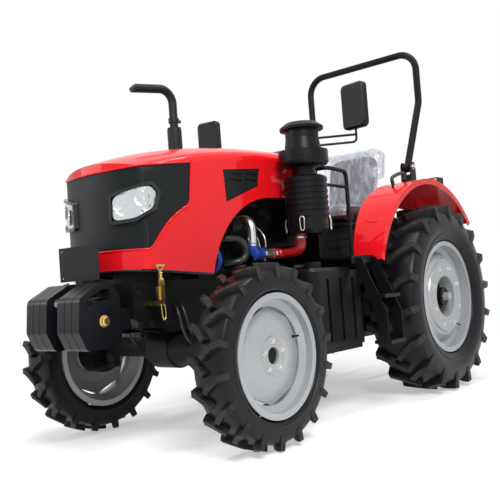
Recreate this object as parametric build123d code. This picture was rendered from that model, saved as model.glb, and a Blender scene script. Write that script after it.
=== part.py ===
from build123d import *
import math
import os

# Farm tractor with four driven wheels, a tilting hood, a folding roll bar and a rear hitch.
# Millimetres. X forward, Y to the left, Z up. Lengths along X are counted from the rear axle
# and moved at the end, so that the origin lies on the ground under the middle of the tractor.

# Clearances
SEAT_GAP = 0.3
RUN_GAP = 5

# Wheels and tyres
WHEELBASE = 2030
FRONT_TYRE_R = 495
FRONT_TYRE_WIDTH = 210
FRONT_TRACK = 1422
FRONT_LUGS = 18
FRONT_LUG_HEIGHT = 34
FRONT_RIM_SEAT_R = 305
FRONT_RIM_HALF = 98
REAR_TYRE_R = 682
REAR_TYRE_WIDTH = 376
REAR_TRACK = 1384
REAR_LUGS = 18
REAR_LUG_HEIGHT = 42
REAR_RIM_SEAT_R = 381
REAR_RIM_HALF = 145
BEAD_HEIGHT = 30
BEAD_GAP = 4
LUG_TILT = 4
LUG_ROOT = 1.8
RIM_FLANGE = 25
RIM_WALL = 8
DROP_DEPTH = 38
DISC_SIDES = 8

# Front axle, knuckles and steering
KINGPIN_Y = 545
KINGPIN_R = 22
BEAM_R = 60
BEAM_RISE = 45
DIFF_R = 122
DIFF_HALF = 85
BOSS_R = 50
BOSS_HEIGHT = 190
EAR_THICK = 26
FRONT_HUB_R = 118
SPINDLE_R = 45
STEER_ARM = 170
STEER_ARM_THICK = 24
STEER_ROD_R = 14
STEER_EYE_R = 28
STEER_EYE_HEIGHT = 30
STEER_BARREL_R = 34
STEER_BARREL_HALF = 150
SHAFT_Z = 460
SHAFT_R = 32
SHAFT_REAR = 330

# Rear axle and hubs
TRUMPET_R = 92
TRUMPET_END = 600
TRUMPET_FLANGE_R = 150
REAR_STUB_R = 50
REAR_HUB_R = 67
REAR_HUB_END = 806
REAR_SHAFT_R = 28
REAR_SHAFT_OUT = 40
CASTING_R = 262
CASTING_HOLE_R = 148

# Front frame, engine and gearbox
FRAME_HALF = 165
FRAME_WIDE_HALF = 255
FRAME_PLATE = 24
FRAME_BOTTOM = 640
FRAME_TOP = 930
FRAME_REAR = 1420
FRAME_FRONT = WHEELBASE + 490
FRAME_WIDE_FROM = WHEELBASE + 215
ENGINE_HALF = 140
ENGINE_REAR = 1130
ENGINE_FRONT = WHEELBASE - 130
ENGINE_BOTTOM = 600
BLOCK_BOTTOM = 660
BLOCK_TOP = 1150
HEAD_HALF = 120
HEAD_TOP = 1330
COVER_HEIGHT = 90
RIB_COUNT = 5
RIB_OUT = 12
FAN_R = 190
FAN_BLADES = 6
FAN_Z = 1190
TURBO_X = 1600
FILTER_X = 1640
FILTER_R = 46
BELL_Z = 830
BELL_R = 165
GEARBOX_HALF = 160
LIFT_HALF = 190
GEARBOX_TOP = 950
GEARBOX_REAR = -190
RADIATOR_HALF = 250
RADIATOR_TOP = 1500
PIPE_R = 30
HOSE_R = 34
PIPE_Z = 1062
CHARGE_AT = (1530, 270)

# Hood
HOOD_HALF = 338
HOOD_REAR = 1150
NOSE_X = WHEELBASE + 530
NOSE_SWEEP = 95
NOSE_CORNER_R = 60
HOOD_WALL = 6
PANEL_SINK = 4
PANEL_GAP = 2
PANEL_REBATE = 12
HOOD_CREST = (1775, 1758, 1698, 1580)
HOOD_CROWN = 78
HOOD_SHOULDER_R = 60
SILL_FRONT_Z = 1006
SILL_REAR_Z = 956
SILL_REAR_X = WHEELBASE - 54
ARCH_TOP_Z = 1424
VENT_SLOT = (112, 9)
LAMP_PROUD = 14
LAMP_RIM = 17
LAMP_LENS_SINK = 8
HINGE_X = HOOD_REAR + 15
HINGE_Z = 1690
HINGE_Y = 230
HINGE_PIN_R = 8
HINGE_LUG = 20
LATCH_X = WHEELBASE + 385

# Driver's place
FLOOR_Z = 1012
FLOOR_THICK = 12
FLOOR_FRONT = 1060
FLOOR_REAR = -60
FLOOR_OUTER = 690
FLOOR_CORNER = 530
FIREWALL_X = 1058
FIREWALL_THICK = 10
FIREWALL_HALF = 455
FIREWALL_TOP = 1640
DASH_HALF = 175
STEER_WHEEL_R = 200
STEER_WHEEL_GRIP = 14
STEER_WHEEL_TILT = 28
STEER_WHEEL_AT = (735, 1640)
STEER_SHAFT_R = 14
COLUMN_R = 30
SEAT_HALF = 235
SEAT_REAR = -60
SEAT_FRONT = 420
SEAT_BOTTOM = 1290
SEAT_TOP = 1420
SEAT_BACK_LENGTH = 555
SEAT_BACK_THICK = 110
SEAT_BACK_LEAN = 10

# Fenders, lamps and rails
FENDER_CLEAR = 184
FENDER_R = REAR_TYRE_R + FENDER_CLEAR
FENDER_AT = (-30, REAR_TYRE_R + 18)
FENDER_INNER = 462
FENDER_OUTER = 752
FENDER_TAPER = 95
TAPER_ANGLE = 34
FENDER_WALL = 6
FENDER_LIP = 42
FENDER_SIDE = 190
FENDER_FROM = 19
FENDER_TO = 141
HANDLE_Y = 620
HANDLE_R = 9
HANDLE_RISE = 72
HANDLE_ANGLES = (68, 80)
LAMP_ANGLE = 107
LAMP_SIZE = (100, 120, 70)
RAIL_R = 14
RAIL_Y = 555
RAIL_TOP = 1600

# Roll bar
ROPS_TUBE_R = 28
ROPS_HINGE = (-269, 455, 1715)
ROPS_BEND = (-420, 525, 2260)
ROPS_TOP_Z = 2680
ROPS_PIN_R = 10
ROPS_EYE_R = 38
ROPS_EYE_HALF = 28
ROPS_CORNER_R = 150
ROPS_PLATE = 8
ROPS_PLATE_HALF = 44
ROPS_FOOT = 21
ROPS_LEAN_GAP = 12

# Tank, steps, air cleaner, exhaust and mirrors
TANK_FROM = 870
TANK_TO = WHEELBASE - 595
TANK_INNER = 300
TANK_OUTER = 650
TANK_BOTTOM = 445
TANK_TOP = 945
TANK_CORNER_R = 60
TANK_GROOVE = (26, 16)
CRADLE_THICK = 30
BATTERY_X = (950, 1350)
BATTERY_OUTER = 610
BATTERY_TOP = 800
STEP_X = (797, 985)
STEP_PLATE = 6
STEP_TREADS = (((740, 870), 730), ((770, 890), 440))
TREAD_HEIGHT = 22
AIR_AT = (1262, 517)
AIR_R = 138
AIR_BOTTOM = 1165
AIR_TOP = 1530
AIR_BRACKET = 80
EXHAUST_AT = (1462, -420)
EXHAUST_R = 30
EXHAUST_TOP = 2275
EXHAUST_BEND = 95
SHIELD_Z = (1560, 2000)
SHIELD_GAP = 18
CLAMP_Z = 2051
MIRROR_AT = (840, 665, 2015)
MIRROR_SIZE = (46, 195, 305)
MIRROR_ARM_R = 8

# Nose weights and number plate
WEIGHT_FRONT = WHEELBASE + 820
WEIGHT_INNER = 46
WEIGHT_THICK = 57
WEIGHT_COUNT = 3
WEIGHT_GROOVE = 4
WEIGHT_ROUND = 38
WEIGHT_BOLT_R = 14
PLATE_SIZE = (332, 184)
PLATE_THICK = 4
PLATE_BOTTOM = 958
PLATE_HOLE_R = 5

# Rear hitch, drawbar and power shaft
LINK_PIVOT = (-150, 500)
LINK_PIN_R = 16
LINK_LENGTH = 815
LINK_PIVOT_Y = 230
LINK_END_Y = 400
LINK_EYE = 430
LINK_BAR = (24, 62)
LINK_ANGLE = -2
BALL_BORE_R = 14.4
BALL_R = 34
BALL_HALF = 22
ROCKER_AT = (-150, 985)
ROCKER_R = 28
ROCKER_WALL = 26
LIFT_ARM = 250
LIFT_ARM_Y = 268
LIFT_ARM_ANGLE = 8
LIFT_PIN_R = 12
LIFT_ROD_R = 13
FORK_HALF = 36
FORK_PLATE = 10
FORK_CLEAR = 64
TOP_LINK_AT = (-245, 825)
TOP_LINK_LENGTH = 560
TOP_LINK_LEAN = -62
TOP_LINK_R = 14
TOP_LINK_EYE_R = 30
TOP_LINK_HALF = 17
TOP_LINK_BORE_R = 12.85
DRAWBAR_PIN_R = 16.5
DRAWBAR_PIN_X = -800
DRAWBAR_Z = (380, 412)
PTO_R = 17.45
PTO_Z = 620

# Worked out from the sizes above
FRONT_Y = FRONT_TRACK / 2
REAR_Y = REAR_TRACK / 2
BEAM_Z = FRONT_TYRE_R + BEAM_RISE
FLOOR_UNDER = FLOOR_Z - FLOOR_THICK
FLOOR_INNER = FENDER_INNER - SEAT_GAP
FLOOR_STEP_X = FENDER_AT[0] + math.sqrt(FENDER_R ** 2 - (FLOOR_UNDER - FENDER_AT[1]) ** 2) + SEAT_GAP
PLATE_X = WEIGHT_FRONT - 194
REAR_REACH = LINK_LENGTH - LINK_PIVOT[0] + BALL_R
SHIFT_X = (REAR_REACH - WEIGHT_FRONT) / 2


def save(shape, node):
    export_step(Pos(SHIFT_X, 0, 0) * shape, f"parts/{node}.step")


def other_side(shape):
    return mirror(shape, about=Plane.XZ)


def both_sides(shape):
    return shape + other_side(shape)


def block(x, y, z):
    middle = Pos((x[0] + x[1]) / 2, (y[0] + y[1]) / 2, (z[0] + z[1]) / 2)
    return middle * Box(x[1] - x[0], y[1] - y[0], z[1] - z[0])


def outline(*points):
    return Polygon(*points, align=None)


def slab(face, y_low, y_high):
    """A plate cut to an XZ outline, standing between two Y planes."""
    return Pos(0, y_high, 0) * extrude(Plane.XZ * face, amount=y_high - y_low, dir=(0, -1, 0))


def plate_x(face, x, thick):
    """A plate cut to a YZ outline, standing across the tractor."""
    return extrude(Plane(origin=(x, 0, 0), x_dir=(0, 1, 0), z_dir=(1, 0, 0)) * face, amount=thick,
                   dir=(1, 0, 0))


def rod_y(x, z, radius, y_low, y_high):
    return Pos(x, (y_low + y_high) / 2, z) * Rot(90, 0, 0) * Cylinder(radius, y_high - y_low)


def rod_x(y, z, radius, x_low, x_high):
    return Pos((x_low + x_high) / 2, y, z) * Rot(0, 90, 0) * Cylinder(radius, x_high - x_low)


def rod_z(x, y, radius, z_low, z_high):
    return Pos(x, y, (z_low + z_high) / 2) * Cylinder(radius, z_high - z_low)


def tube(points, radius, bend, sides=12):
    """A bar of many-sided section bent along straight runs."""
    path = FilletPolyline(*points, radius=bend) if len(points) > 2 else Polyline(*points)
    section = Plane(origin=path @ 0, z_dir=path % 0) * RegularPolygon(radius, sides)
    return sweep(section, path=path)


def turned(points):
    """A ring turned about the X axis: points are (across, radius)."""
    return revolve(Plane.XY * outline(*points), axis=Axis.X, revolution_arc=360)


def on_axle(ring, x, y, z):
    """Sets a ring, drawn about the X axis, on a wheel's axle with its outer face to the left."""
    return Pos(x, y, z) * Rot(0, 0, 90) * ring


def spindle(points, x, y):
    """A body turned about an upright axis: points are (radius, height)."""
    return Pos(x, y, 0) * revolve(Plane.XZ * outline(*points), axis=Axis.Z, revolution_arc=360)


# Wheels


def tyre(radius, width, seat_r, rim_half, lug_height, lugs):
    """A faceted carcass with slanting bars in a V fused on, out to the bars' tips."""
    half = width / 2
    crown = radius - lug_height
    bead = rim_half - RIM_WALL - BEAD_GAP
    facets = 3 * lugs // 2
    stations = [(bead, seat_r + BEAD_HEIGHT), (half, (seat_r + crown) / 2),
                (half * 0.86, crown - half * 0.14)]
    stations = [(-a, r) for a, r in stations] + list(reversed(stations))
    across = Plane(origin=(0, 0, 0), x_dir=(0, 1, 0), z_dir=(1, 0, 0))
    carcass = loft([across.offset(a) * RegularPolygon(r, facets) for a, r in stations], ruled=True)
    bore_r = (seat_r + SEAT_GAP) / math.cos(math.pi / facets)
    carcass -= extrude(across * RegularPolygon(bore_r, facets), amount=width, both=True)

    lag = half * 0.8
    thick = math.pi * radius / lugs * 0.3
    line = ((-0.04 * half, -0.5 * lag, thick), (0.97 * half, 0.42 * lag, thick * 1.3))
    plan = outline(*[(a, s - w / 2) for a, s, w in line], *[(a, s + w / 2) for a, s, w in reversed(line)])
    top = math.sqrt(radius ** 2 - (0.5 * lag + thick / 2) ** 2)
    depth = lug_height * LUG_ROOT
    bar = extrude(Pos(0, 0, -depth) * plan, amount=depth, dir=(0, 0, 1))
    bar = Pos(0, 0, top) * Rot(0, LUG_TILT, 0) * bar
    far_bar = mirror(bar, about=Plane.YZ)
    pitch = 360 / lugs
    bars = [Rot(pitch * (n + share), 0, 0) * one for n in range(lugs) for share,
            one in ((0, bar), (0.5, far_bar))]
    return carcass + bars


def rim_barrel(seat_r, half):
    """Rolled rim: flanges, bead seats and drop centre, outside first and inside back."""
    lip = seat_r + RIM_FLANGE
    drop = seat_r - DROP_DEPTH
    well = half * 0.42
    outer = [(-half, lip), (-half + RIM_WALL, lip), (-half + RIM_WALL, seat_r), (-well - 18, seat_r),
             (-well, drop)]
    outer += [(-a, r) for a, r in reversed(outer)]
    inner = [(half, seat_r - RIM_WALL), (well + 14, seat_r - RIM_WALL), (well - 6, drop - RIM_WALL)]
    inner += [(-a, r) for a, r in reversed(inner)]
    return turned(outer + inner)


def front_rim():
    """The barrel with its dished disc, whose eight flats leave gaps along the barrel."""
    edge = FRONT_RIM_SEAT_R - DROP_DEPTH - RIM_WALL
    bore = SPINDLE_R + SEAT_GAP
    dish = turned([(57, bore), (57, 98), (66, 112), (60, 150), (50, 186), (22, edge + 3), (10, edge + 3),
                   (10, edge - 6), (38, 184), (54, 112), (47, 98), (30, 92), (30, bore)])
    across = Plane(origin=(0, 0, 0), x_dir=(0, 1, 0), z_dir=(1, 0, 0))
    flats = extrude(across * RegularPolygon(edge + 3, DISC_SIDES), amount=FRONT_RIM_HALF, both=True)
    return rim_barrel(FRONT_RIM_SEAT_R, FRONT_RIM_HALF) + (dish & flats)


def rear_rim():
    """The barrel with its dished disc and the cast centre bolted to it."""
    edge = REAR_RIM_SEAT_R - DROP_DEPTH - RIM_WALL
    bore = REAR_HUB_R - 5
    centre = turned([(8, bore), (8, 158), (98, 172), (98, 250), (38, edge - 8), (38, edge + 3),
                     (54, edge + 3),
                     (112, CASTING_R + 14), (112, CASTING_R), (123, CASTING_R - 6), (123, CASTING_HOLE_R + 2),
                     (100, CASTING_HOLE_R - 1), (28, CASTING_HOLE_R - 12), (28, bore)])
    return rim_barrel(REAR_RIM_SEAT_R, REAR_RIM_HALF) + centre


front_tyre = on_axle(tyre(FRONT_TYRE_R, FRONT_TYRE_WIDTH, FRONT_RIM_SEAT_R, FRONT_RIM_HALF, FRONT_LUG_HEIGHT,
                          FRONT_LUGS), WHEELBASE, FRONT_Y, FRONT_TYRE_R)
rear_tyre = on_axle(tyre(REAR_TYRE_R, REAR_TYRE_WIDTH, REAR_RIM_SEAT_R, REAR_RIM_HALF, REAR_LUG_HEIGHT,
                         REAR_LUGS), 0, REAR_Y, REAR_TYRE_R)
front_rim_left = on_axle(front_rim(), WHEELBASE, FRONT_Y, FRONT_TYRE_R)
hub = rod_y(0, REAR_TYRE_R, REAR_HUB_R, TRUMPET_END + RUN_GAP, REAR_HUB_END)
hub += rod_y(0, REAR_TYRE_R, REAR_SHAFT_R, REAR_HUB_END, REAR_HUB_END + REAR_SHAFT_OUT)
hub += rod_y(0, REAR_TYRE_R, CASTING_HOLE_R + 2, REAR_Y - 14, REAR_Y + 10)
hub_bore = rod_y(0, REAR_TYRE_R, REAR_STUB_R + SEAT_GAP, TRUMPET_END, REAR_Y + 20)
rear_rim_left = on_axle(rear_rim(), 0, REAR_Y, REAR_TYRE_R) + hub - hub_bore

# Front axle, knuckles and steering

boss = rod_z(WHEELBASE, KINGPIN_Y, BOSS_R, BEAM_Z - BOSS_HEIGHT / 2, BEAM_Z + BOSS_HEIGHT / 2)
half_beam = rod_y(WHEELBASE, BEAM_Z, BEAM_R, 0, KINGPIN_Y)
half_cone = Pos(WHEELBASE, DIFF_HALF + 65, BEAM_Z) * Rot(-90, 0, 0) * Cone(DIFF_R - 2, BEAM_R, 160)
kingpin_hole = rod_z(WHEELBASE, KINGPIN_Y, KINGPIN_R + SEAT_GAP, 0, 2 * BEAM_Z)
half_axle = half_beam + half_cone + boss - kingpin_hole
diff_case = rod_y(WHEELBASE, BEAM_Z, DIFF_R, -DIFF_HALF, DIFF_HALF)
pivot = block((WHEELBASE - 70, WHEELBASE + 70), (-60, 60), (BEAM_Z + BEAM_R, FRAME_BOTTOM + 25))
barrel_x = WHEELBASE - STEER_ARM
steer_barrel = rod_y(barrel_x, BEAM_Z, STEER_BARREL_R, -STEER_BARREL_HALF, STEER_BARREL_HALF)
for end in (-STEER_BARREL_HALF + 14, STEER_BARREL_HALF - 14):
    steer_barrel += rod_y(barrel_x, BEAM_Z, STEER_BARREL_R + 8, end - 14, end + 14)
barrel_bore = rod_y(barrel_x, BEAM_Z, STEER_ROD_R + SEAT_GAP, -STEER_BARREL_HALF, STEER_BARREL_HALF)
barrel_foot = block((barrel_x, WHEELBASE - 90), (-40, 40), (BEAM_Z - 25, BEAM_Z + 25))
drive_shaft = rod_x(0, SHAFT_Z, SHAFT_R, SHAFT_REAR, WHEELBASE - 60)
drive_shaft += rod_x(0, SHAFT_Z, SHAFT_R + 16, WHEELBASE - 180, WHEELBASE - 100)
front_axle = both_sides(half_axle) + diff_case + pivot + drive_shaft + (barrel_foot + steer_barrel - barrel_bore)

rod_end = KINGPIN_Y - 30
rod_eye = Pos(barrel_x, rod_end, BEAM_Z) * Cylinder(STEER_EYE_R, STEER_EYE_HEIGHT)
steering_rod = rod_y(barrel_x, BEAM_Z, STEER_ROD_R, -rod_end, rod_end) + both_sides(rod_eye)

ear_low = BEAM_Z - BOSS_HEIGHT / 2 - RUN_GAP
ear_high = BEAM_Z + BOSS_HEIGHT / 2 + RUN_GAP
web_y = KINGPIN_Y + BOSS_R + 12
hub_end = FRONT_Y + 26
knuckle = rod_z(WHEELBASE, KINGPIN_Y, KINGPIN_R, ear_low - EAR_THICK, ear_high + EAR_THICK)
for ear in ((ear_low - EAR_THICK, ear_low), (ear_high, ear_high + EAR_THICK)):
    knuckle += rod_z(WHEELBASE, KINGPIN_Y, BOSS_R, *ear)
    knuckle += block((WHEELBASE - BOSS_R, WHEELBASE + BOSS_R), (KINGPIN_Y, web_y + 10), ear)
knuckle += block((WHEELBASE - 70, WHEELBASE + 70), (web_y, web_y + 34),
                 (ear_low - EAR_THICK, ear_high + EAR_THICK))
knuckle += rod_y(WHEELBASE, FRONT_TYRE_R, FRONT_HUB_R, web_y + 10, hub_end)
knuckle += rod_y(WHEELBASE, FRONT_TYRE_R, SPINDLE_R, hub_end, FRONT_Y + 40)
arm_top = BEAM_Z - STEER_EYE_HEIGHT / 2 - RUN_GAP
arm_z = (arm_top - STEER_ARM_THICK, arm_top)
knuckle += block((barrel_x, WHEELBASE), (web_y, web_y + 28), arm_z)
knuckle_left = knuckle + block((barrel_x - 25, barrel_x + 25), (rod_end - 25, web_y + 28), arm_z)

# Front frame with the bracket of the nose weights

rail_view = outline((FRAME_REAR, 760), (FRAME_REAR, FRAME_TOP), (FRAME_FRONT, FRAME_TOP), (FRAME_FRONT, 700),
                    (FRAME_WIDE_FROM, FRAME_BOTTOM), (WHEELBASE - 230, FRAME_BOTTOM))
rail = slab(rail_view, FRAME_HALF - FRAME_PLATE, FRAME_HALF)
cheek_view = outline((FRAME_WIDE_FROM, FRAME_BOTTOM + 30), (FRAME_WIDE_FROM, FRAME_TOP),
                     (FRAME_FRONT, FRAME_TOP),
                     (FRAME_FRONT, 740), (FRAME_FRONT - 60, 690))
cheek = slab(cheek_view, FRAME_HALF - 10, FRAME_WIDE_HALF)
front_frame = both_sides(rail + cheek)
front_frame += block((FRAME_FRONT - 40, FRAME_FRONT), (-FRAME_HALF, FRAME_HALF), (700, FRAME_TOP))
front_frame += block((WHEELBASE - 110, WHEELBASE + 110), (-FRAME_HALF, FRAME_HALF),
                     (FRAME_BOTTOM + 25, FRAME_BOTTOM + 60))
front_frame += block((WHEELBASE + 30, WHEELBASE + 300), (-FRAME_HALF, FRAME_HALF),
                     (FRAME_TOP - 25, FRAME_TOP))
weight_rear = WEIGHT_FRONT - 270
front_frame += block((FRAME_FRONT, weight_rear - SEAT_GAP), (-225, 225), (690, 800))
front_frame += block((FRAME_FRONT, weight_rear + 60), (-WEIGHT_INNER + 6, WEIGHT_INNER - 6), (690, 800))

# Engine: one heavy block, with what its open sides show

engine = block((ENGINE_REAR, ENGINE_FRONT), (-ENGINE_HALF, ENGINE_HALF), (BLOCK_BOTTOM, BLOCK_TOP))
rib_pitch = (ENGINE_FRONT - ENGINE_REAR - 120) / RIB_COUNT
for index in range(RIB_COUNT):
    rib_x = ENGINE_REAR + 100 + index * rib_pitch
    engine += block((rib_x, rib_x + 30), (-ENGINE_HALF - RIB_OUT, ENGINE_HALF + RIB_OUT),
                    (FRAME_TOP + 10, BLOCK_TOP - 40))
engine += block((ENGINE_REAR + 60, ENGINE_FRONT - 40), (-HEAD_HALF, HEAD_HALF), (BLOCK_TOP, HEAD_TOP))
cover_view = outline((-85, HEAD_TOP), (-85, HEAD_TOP + 60), (-55, HEAD_TOP + COVER_HEIGHT),
                     (55, HEAD_TOP + COVER_HEIGHT),
                     (85, HEAD_TOP + 60), (85, HEAD_TOP))
engine += plate_x(cover_view, ENGINE_REAR + 90, ENGINE_FRONT - ENGINE_REAR - 160)
sump_view = outline((-110, BLOCK_BOTTOM), (-80, ENGINE_BOTTOM), (80, ENGINE_BOTTOM), (110, BLOCK_BOTTOM))
engine += plate_x(sump_view, ENGINE_REAR + 150, ENGINE_FRONT - ENGINE_REAR - 300)
engine += rod_x(0, BELL_Z, BELL_R, ENGINE_REAR, ENGINE_REAR + 70)
engine += rod_x(0, FAN_Z, 60, ENGINE_FRONT, ENGINE_FRONT + 75)
for index in range(FAN_BLADES):
    blade = Pos(0, 0, FAN_R / 2) * Rot(0, 0, 30) * Box(8, 70, FAN_R)
    engine += Pos(ENGINE_FRONT + 62, 0, FAN_Z) * Rot(index * 360 / FAN_BLADES, 0, 0) * blade
generator_x = ENGINE_FRONT - 150
engine += rod_x(ENGINE_HALF + 62, 1215, 62, generator_x, generator_x + 130)
engine += block((generator_x + 30, generator_x + 80), (HEAD_HALF - 10, ENGINE_HALF + 62), (1190, 1240))
engine += rod_x(ENGINE_HALF + 62, 1215, 40, generator_x + 130, generator_x + 160)
engine += rod_x(205, 1245, 52, TURBO_X, TURBO_X + 50) + rod_x(205, 1245, 70, TURBO_X + 50, TURBO_X + 110)
engine += block((TURBO_X + 20, TURBO_X + 100), (HEAD_HALF - 10, 180), (1215, 1275))
engine += block((1310, 1480), (ENGINE_HALF - 5, 205), (960, 1080)) + rod_x(190, 1090, 34, 1330, 1470)
filter_y = FRAME_HALF + RUN_GAP + FILTER_R
engine += rod_z(FILTER_X, filter_y, FILTER_R, FRAME_TOP - 110, FRAME_TOP + 45)
engine += block((FILTER_X - 30, FILTER_X + 30), (ENGINE_HALF - 5, filter_y),
                (FRAME_TOP + RUN_GAP, FRAME_TOP + 45))
engine += rod_x(-205, 800, 58, ENGINE_REAR + 70, FRAME_REAR - 20)
engine += block((ENGINE_REAR + 80, ENGINE_REAR + 150), (-205, -ENGINE_HALF + 5), (770, 830))
bracket_y = AIR_AT[1] - AIR_R - SEAT_GAP
bracket_x = (AIR_AT[0] - AIR_BRACKET / 2, AIR_AT[0] + AIR_BRACKET / 2)
engine += block(bracket_x, (ENGINE_HALF - 15, bracket_y), (1100, 1130))
engine += block(bracket_x, (bracket_y - 8, bracket_y), (1100, 1300))

# Gearbox with the rear axle, lift and hitch brackets

gear_view = outline((GEARBOX_REAR, 430), (GEARBOX_REAR, GEARBOX_TOP - 70), (420, GEARBOX_TOP),
                    (ENGINE_REAR, BELL_Z + BELL_R - 20), (ENGINE_REAR, BELL_Z - BELL_R), (700, 560),
                    (SHAFT_REAR, 560), (SHAFT_REAR, 430))
gearbox = slab(gear_view, -GEARBOX_HALF, GEARBOX_HALF)
gearbox += rod_x(0, BELL_Z, BELL_R, ENGINE_REAR - 60, ENGINE_REAR)
for rib_x in (480, 640, 800):
    gearbox += block((rib_x, rib_x + 26), (-GEARBOX_HALF - RIB_OUT, GEARBOX_HALF + RIB_OUT), (600, 900))
lift_cover = block((GEARBOX_REAR - 20, 300), (-LIFT_HALF, LIFT_HALF), (GEARBOX_TOP - 80, GEARBOX_TOP + 40))
lift_cover = chamfer(lift_cover.faces().sort_by(Axis.Z)[-1].edges().filter_by(Axis.X), 30)
rocker_hole = rod_y(*ROCKER_AT, ROCKER_R + SEAT_GAP, -2 * LIFT_ARM_Y, 2 * LIFT_ARM_Y)
rocker_tunnel = rod_y(*ROCKER_AT, ROCKER_R + ROCKER_WALL, -LIFT_HALF - 25, LIFT_HALF + 25)
gearbox = gearbox + lift_cover + rocker_tunnel - rocker_hole
for x in (150, 960):
    gearbox += both_sides(rod_z(x, 110, 40, GEARBOX_TOP - 60, FLOOR_UNDER))
trumpet = rod_y(0, REAR_TYRE_R, TRUMPET_R, GEARBOX_HALF - 10, TRUMPET_END)
trumpet += Pos(0, GEARBOX_HALF + 70, REAR_TYRE_R) * Rot(-90, 0, 0) * Cone(TRUMPET_FLANGE_R, TRUMPET_R, 140)
trumpet += rod_y(0, REAR_TYRE_R, REAR_STUB_R, TRUMPET_END, REAR_Y)
gearbox += both_sides(trumpet)
link_bracket = block((LINK_PIVOT[0] - 40, 40), (GEARBOX_HALF, LIFT_HALF), (440, 600))
link_bracket += rod_y(*LINK_PIVOT, LINK_PIN_R, GEARBOX_HALF, LINK_PIVOT_Y + 45)
gearbox += both_sides(link_bracket)
gearbox += rod_x(0, PTO_Z, 34, GEARBOX_REAR - 40, GEARBOX_REAR) + rod_x(0, PTO_Z, PTO_R, GEARBOX_REAR - 140,
                                        GEARBOX_REAR)
guard_view = outline((-95, PTO_Z + 10), (-95, PTO_Z + 70), (-60, PTO_Z + 105), (60, PTO_Z + 105),
                     (95, PTO_Z + 70),
                     (95, PTO_Z + 10), (88, PTO_Z + 10), (88, PTO_Z + 67), (57, PTO_Z + 98),
                     (-57, PTO_Z + 98),
                     (-88, PTO_Z + 67), (-88, PTO_Z + 10))
gearbox += plate_x(guard_view, GEARBOX_REAR - 110, 110)
top_x, top_z = TOP_LINK_AT
top_ear = outline((GEARBOX_REAR, top_z - 65), (GEARBOX_REAR, top_z + 55), (top_x - 25, top_z + 25),
                  (top_x - 25, top_z - 25))
gearbox += both_sides(slab(top_ear, TOP_LINK_HALF + RUN_GAP, TOP_LINK_HALF + 25))
gearbox += rod_y(top_x, top_z, LIFT_PIN_R, -TOP_LINK_HALF - 35, TOP_LINK_HALF + 35)

# Hitch and drawbar

link_bore = LIFT_PIN_R + SEAT_GAP
top_link = rod_z(0, 0, TOP_LINK_R, 20, TOP_LINK_LENGTH - 20) + rod_z(0, 0, TOP_LINK_R + 8, 150,
                                        TOP_LINK_LENGTH - 150)
top_link += rod_y(0, 0, TOP_LINK_EYE_R, -TOP_LINK_HALF, TOP_LINK_HALF)
top_link += rod_y(0, TOP_LINK_LENGTH, TOP_LINK_EYE_R, -TOP_LINK_HALF, TOP_LINK_HALF)
top_link -= rod_y(0, 0, link_bore, -2 * TOP_LINK_HALF, 2 * TOP_LINK_HALF)
top_link -= rod_y(0, TOP_LINK_LENGTH, TOP_LINK_BORE_R, -2 * TOP_LINK_HALF, 2 * TOP_LINK_HALF)
top_link = Pos(top_x, 0, top_z) * Rot(0, TOP_LINK_LEAN, 0) * top_link

drawbar = block((DRAWBAR_PIN_X - 50, 120), (-42, 42), DRAWBAR_Z)
drawbar = fillet(drawbar.edges().filter_by(Axis.Z).sort_by(Axis.X)[:2], 30)
drawbar += block((-120, 120), (-70, 70), (DRAWBAR_Z[1], 430))
drawbar -= rod_z(DRAWBAR_PIN_X, 0, DRAWBAR_PIN_R, DRAWBAR_Z[0] - 50, DRAWBAR_Z[1] + 50)


def lower_link():
    """One lower arm: a flat bar from its pivot to the ball end, with the lift rod's eye halfway."""
    splay = math.degrees(math.atan2(LINK_END_Y - LINK_PIVOT_Y, LINK_LENGTH))
    bar = Pos(-LINK_LENGTH / 2 / math.cos(math.radians(splay)), 0, 0) * Box(LINK_LENGTH, *LINK_BAR)
    link = Pos(0, LINK_PIVOT_Y, 0) * Rot(0, 0, -splay) * bar
    link += rod_y(0, 0, BALL_R + 2, LINK_PIVOT_Y - 16, LINK_PIVOT_Y + 16)
    link += rod_y(-LINK_LENGTH, 0, BALL_R, LINK_END_Y - BALL_HALF, LINK_END_Y + BALL_HALF)
    link -= rod_y(0, 0, LINK_PIN_R + SEAT_GAP, LINK_PIVOT_Y - 60, LINK_PIVOT_Y + 60)
    link -= rod_y(-LINK_LENGTH, 0, BALL_BORE_R, LINK_END_Y - 60, LINK_END_Y + 60)
    return Pos(LINK_PIVOT[0], 0, LINK_PIVOT[1]) * Rot(0, LINK_ANGLE, 0) * link


lower_link_left = lower_link()
tip_x = ROCKER_AT[0] - LIFT_ARM * math.cos(math.radians(LIFT_ARM_ANGLE))
tip_z = ROCKER_AT[1] + LIFT_ARM * math.sin(math.radians(LIFT_ARM_ANGLE))
rod_at_y = LINK_PIVOT_Y + (LINK_END_Y - LINK_PIVOT_Y) * LINK_EYE / LINK_LENGTH
arm_view = outline((-LIFT_ARM, -24), (-LIFT_ARM, 24), (0, 40), (0, -40))
lift_arm = slab(arm_view, -15, 15) + rod_y(0, 0, 46, -20, 20) + rod_y(-LIFT_ARM, 0, 30, -16, 16)
lift_arm += rod_y(-LIFT_ARM, 0, LIFT_PIN_R, 0, rod_at_y - LIFT_ARM_Y + 22)
lift_arm = Pos(ROCKER_AT[0], LIFT_ARM_Y, ROCKER_AT[1]) * Rot(0, LIFT_ARM_ANGLE, 0) * lift_arm
lift_arms = both_sides(lift_arm) + rod_y(*ROCKER_AT, ROCKER_R, -LIFT_ARM_Y, LIFT_ARM_Y)
eye_x = LINK_PIVOT[0] - LINK_EYE * math.cos(math.radians(LINK_ANGLE))
eye_z = LINK_PIVOT[1] + LINK_EYE * math.sin(math.radians(LINK_ANGLE))
rod_length = math.hypot(eye_x - tip_x, eye_z - tip_z)
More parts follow.
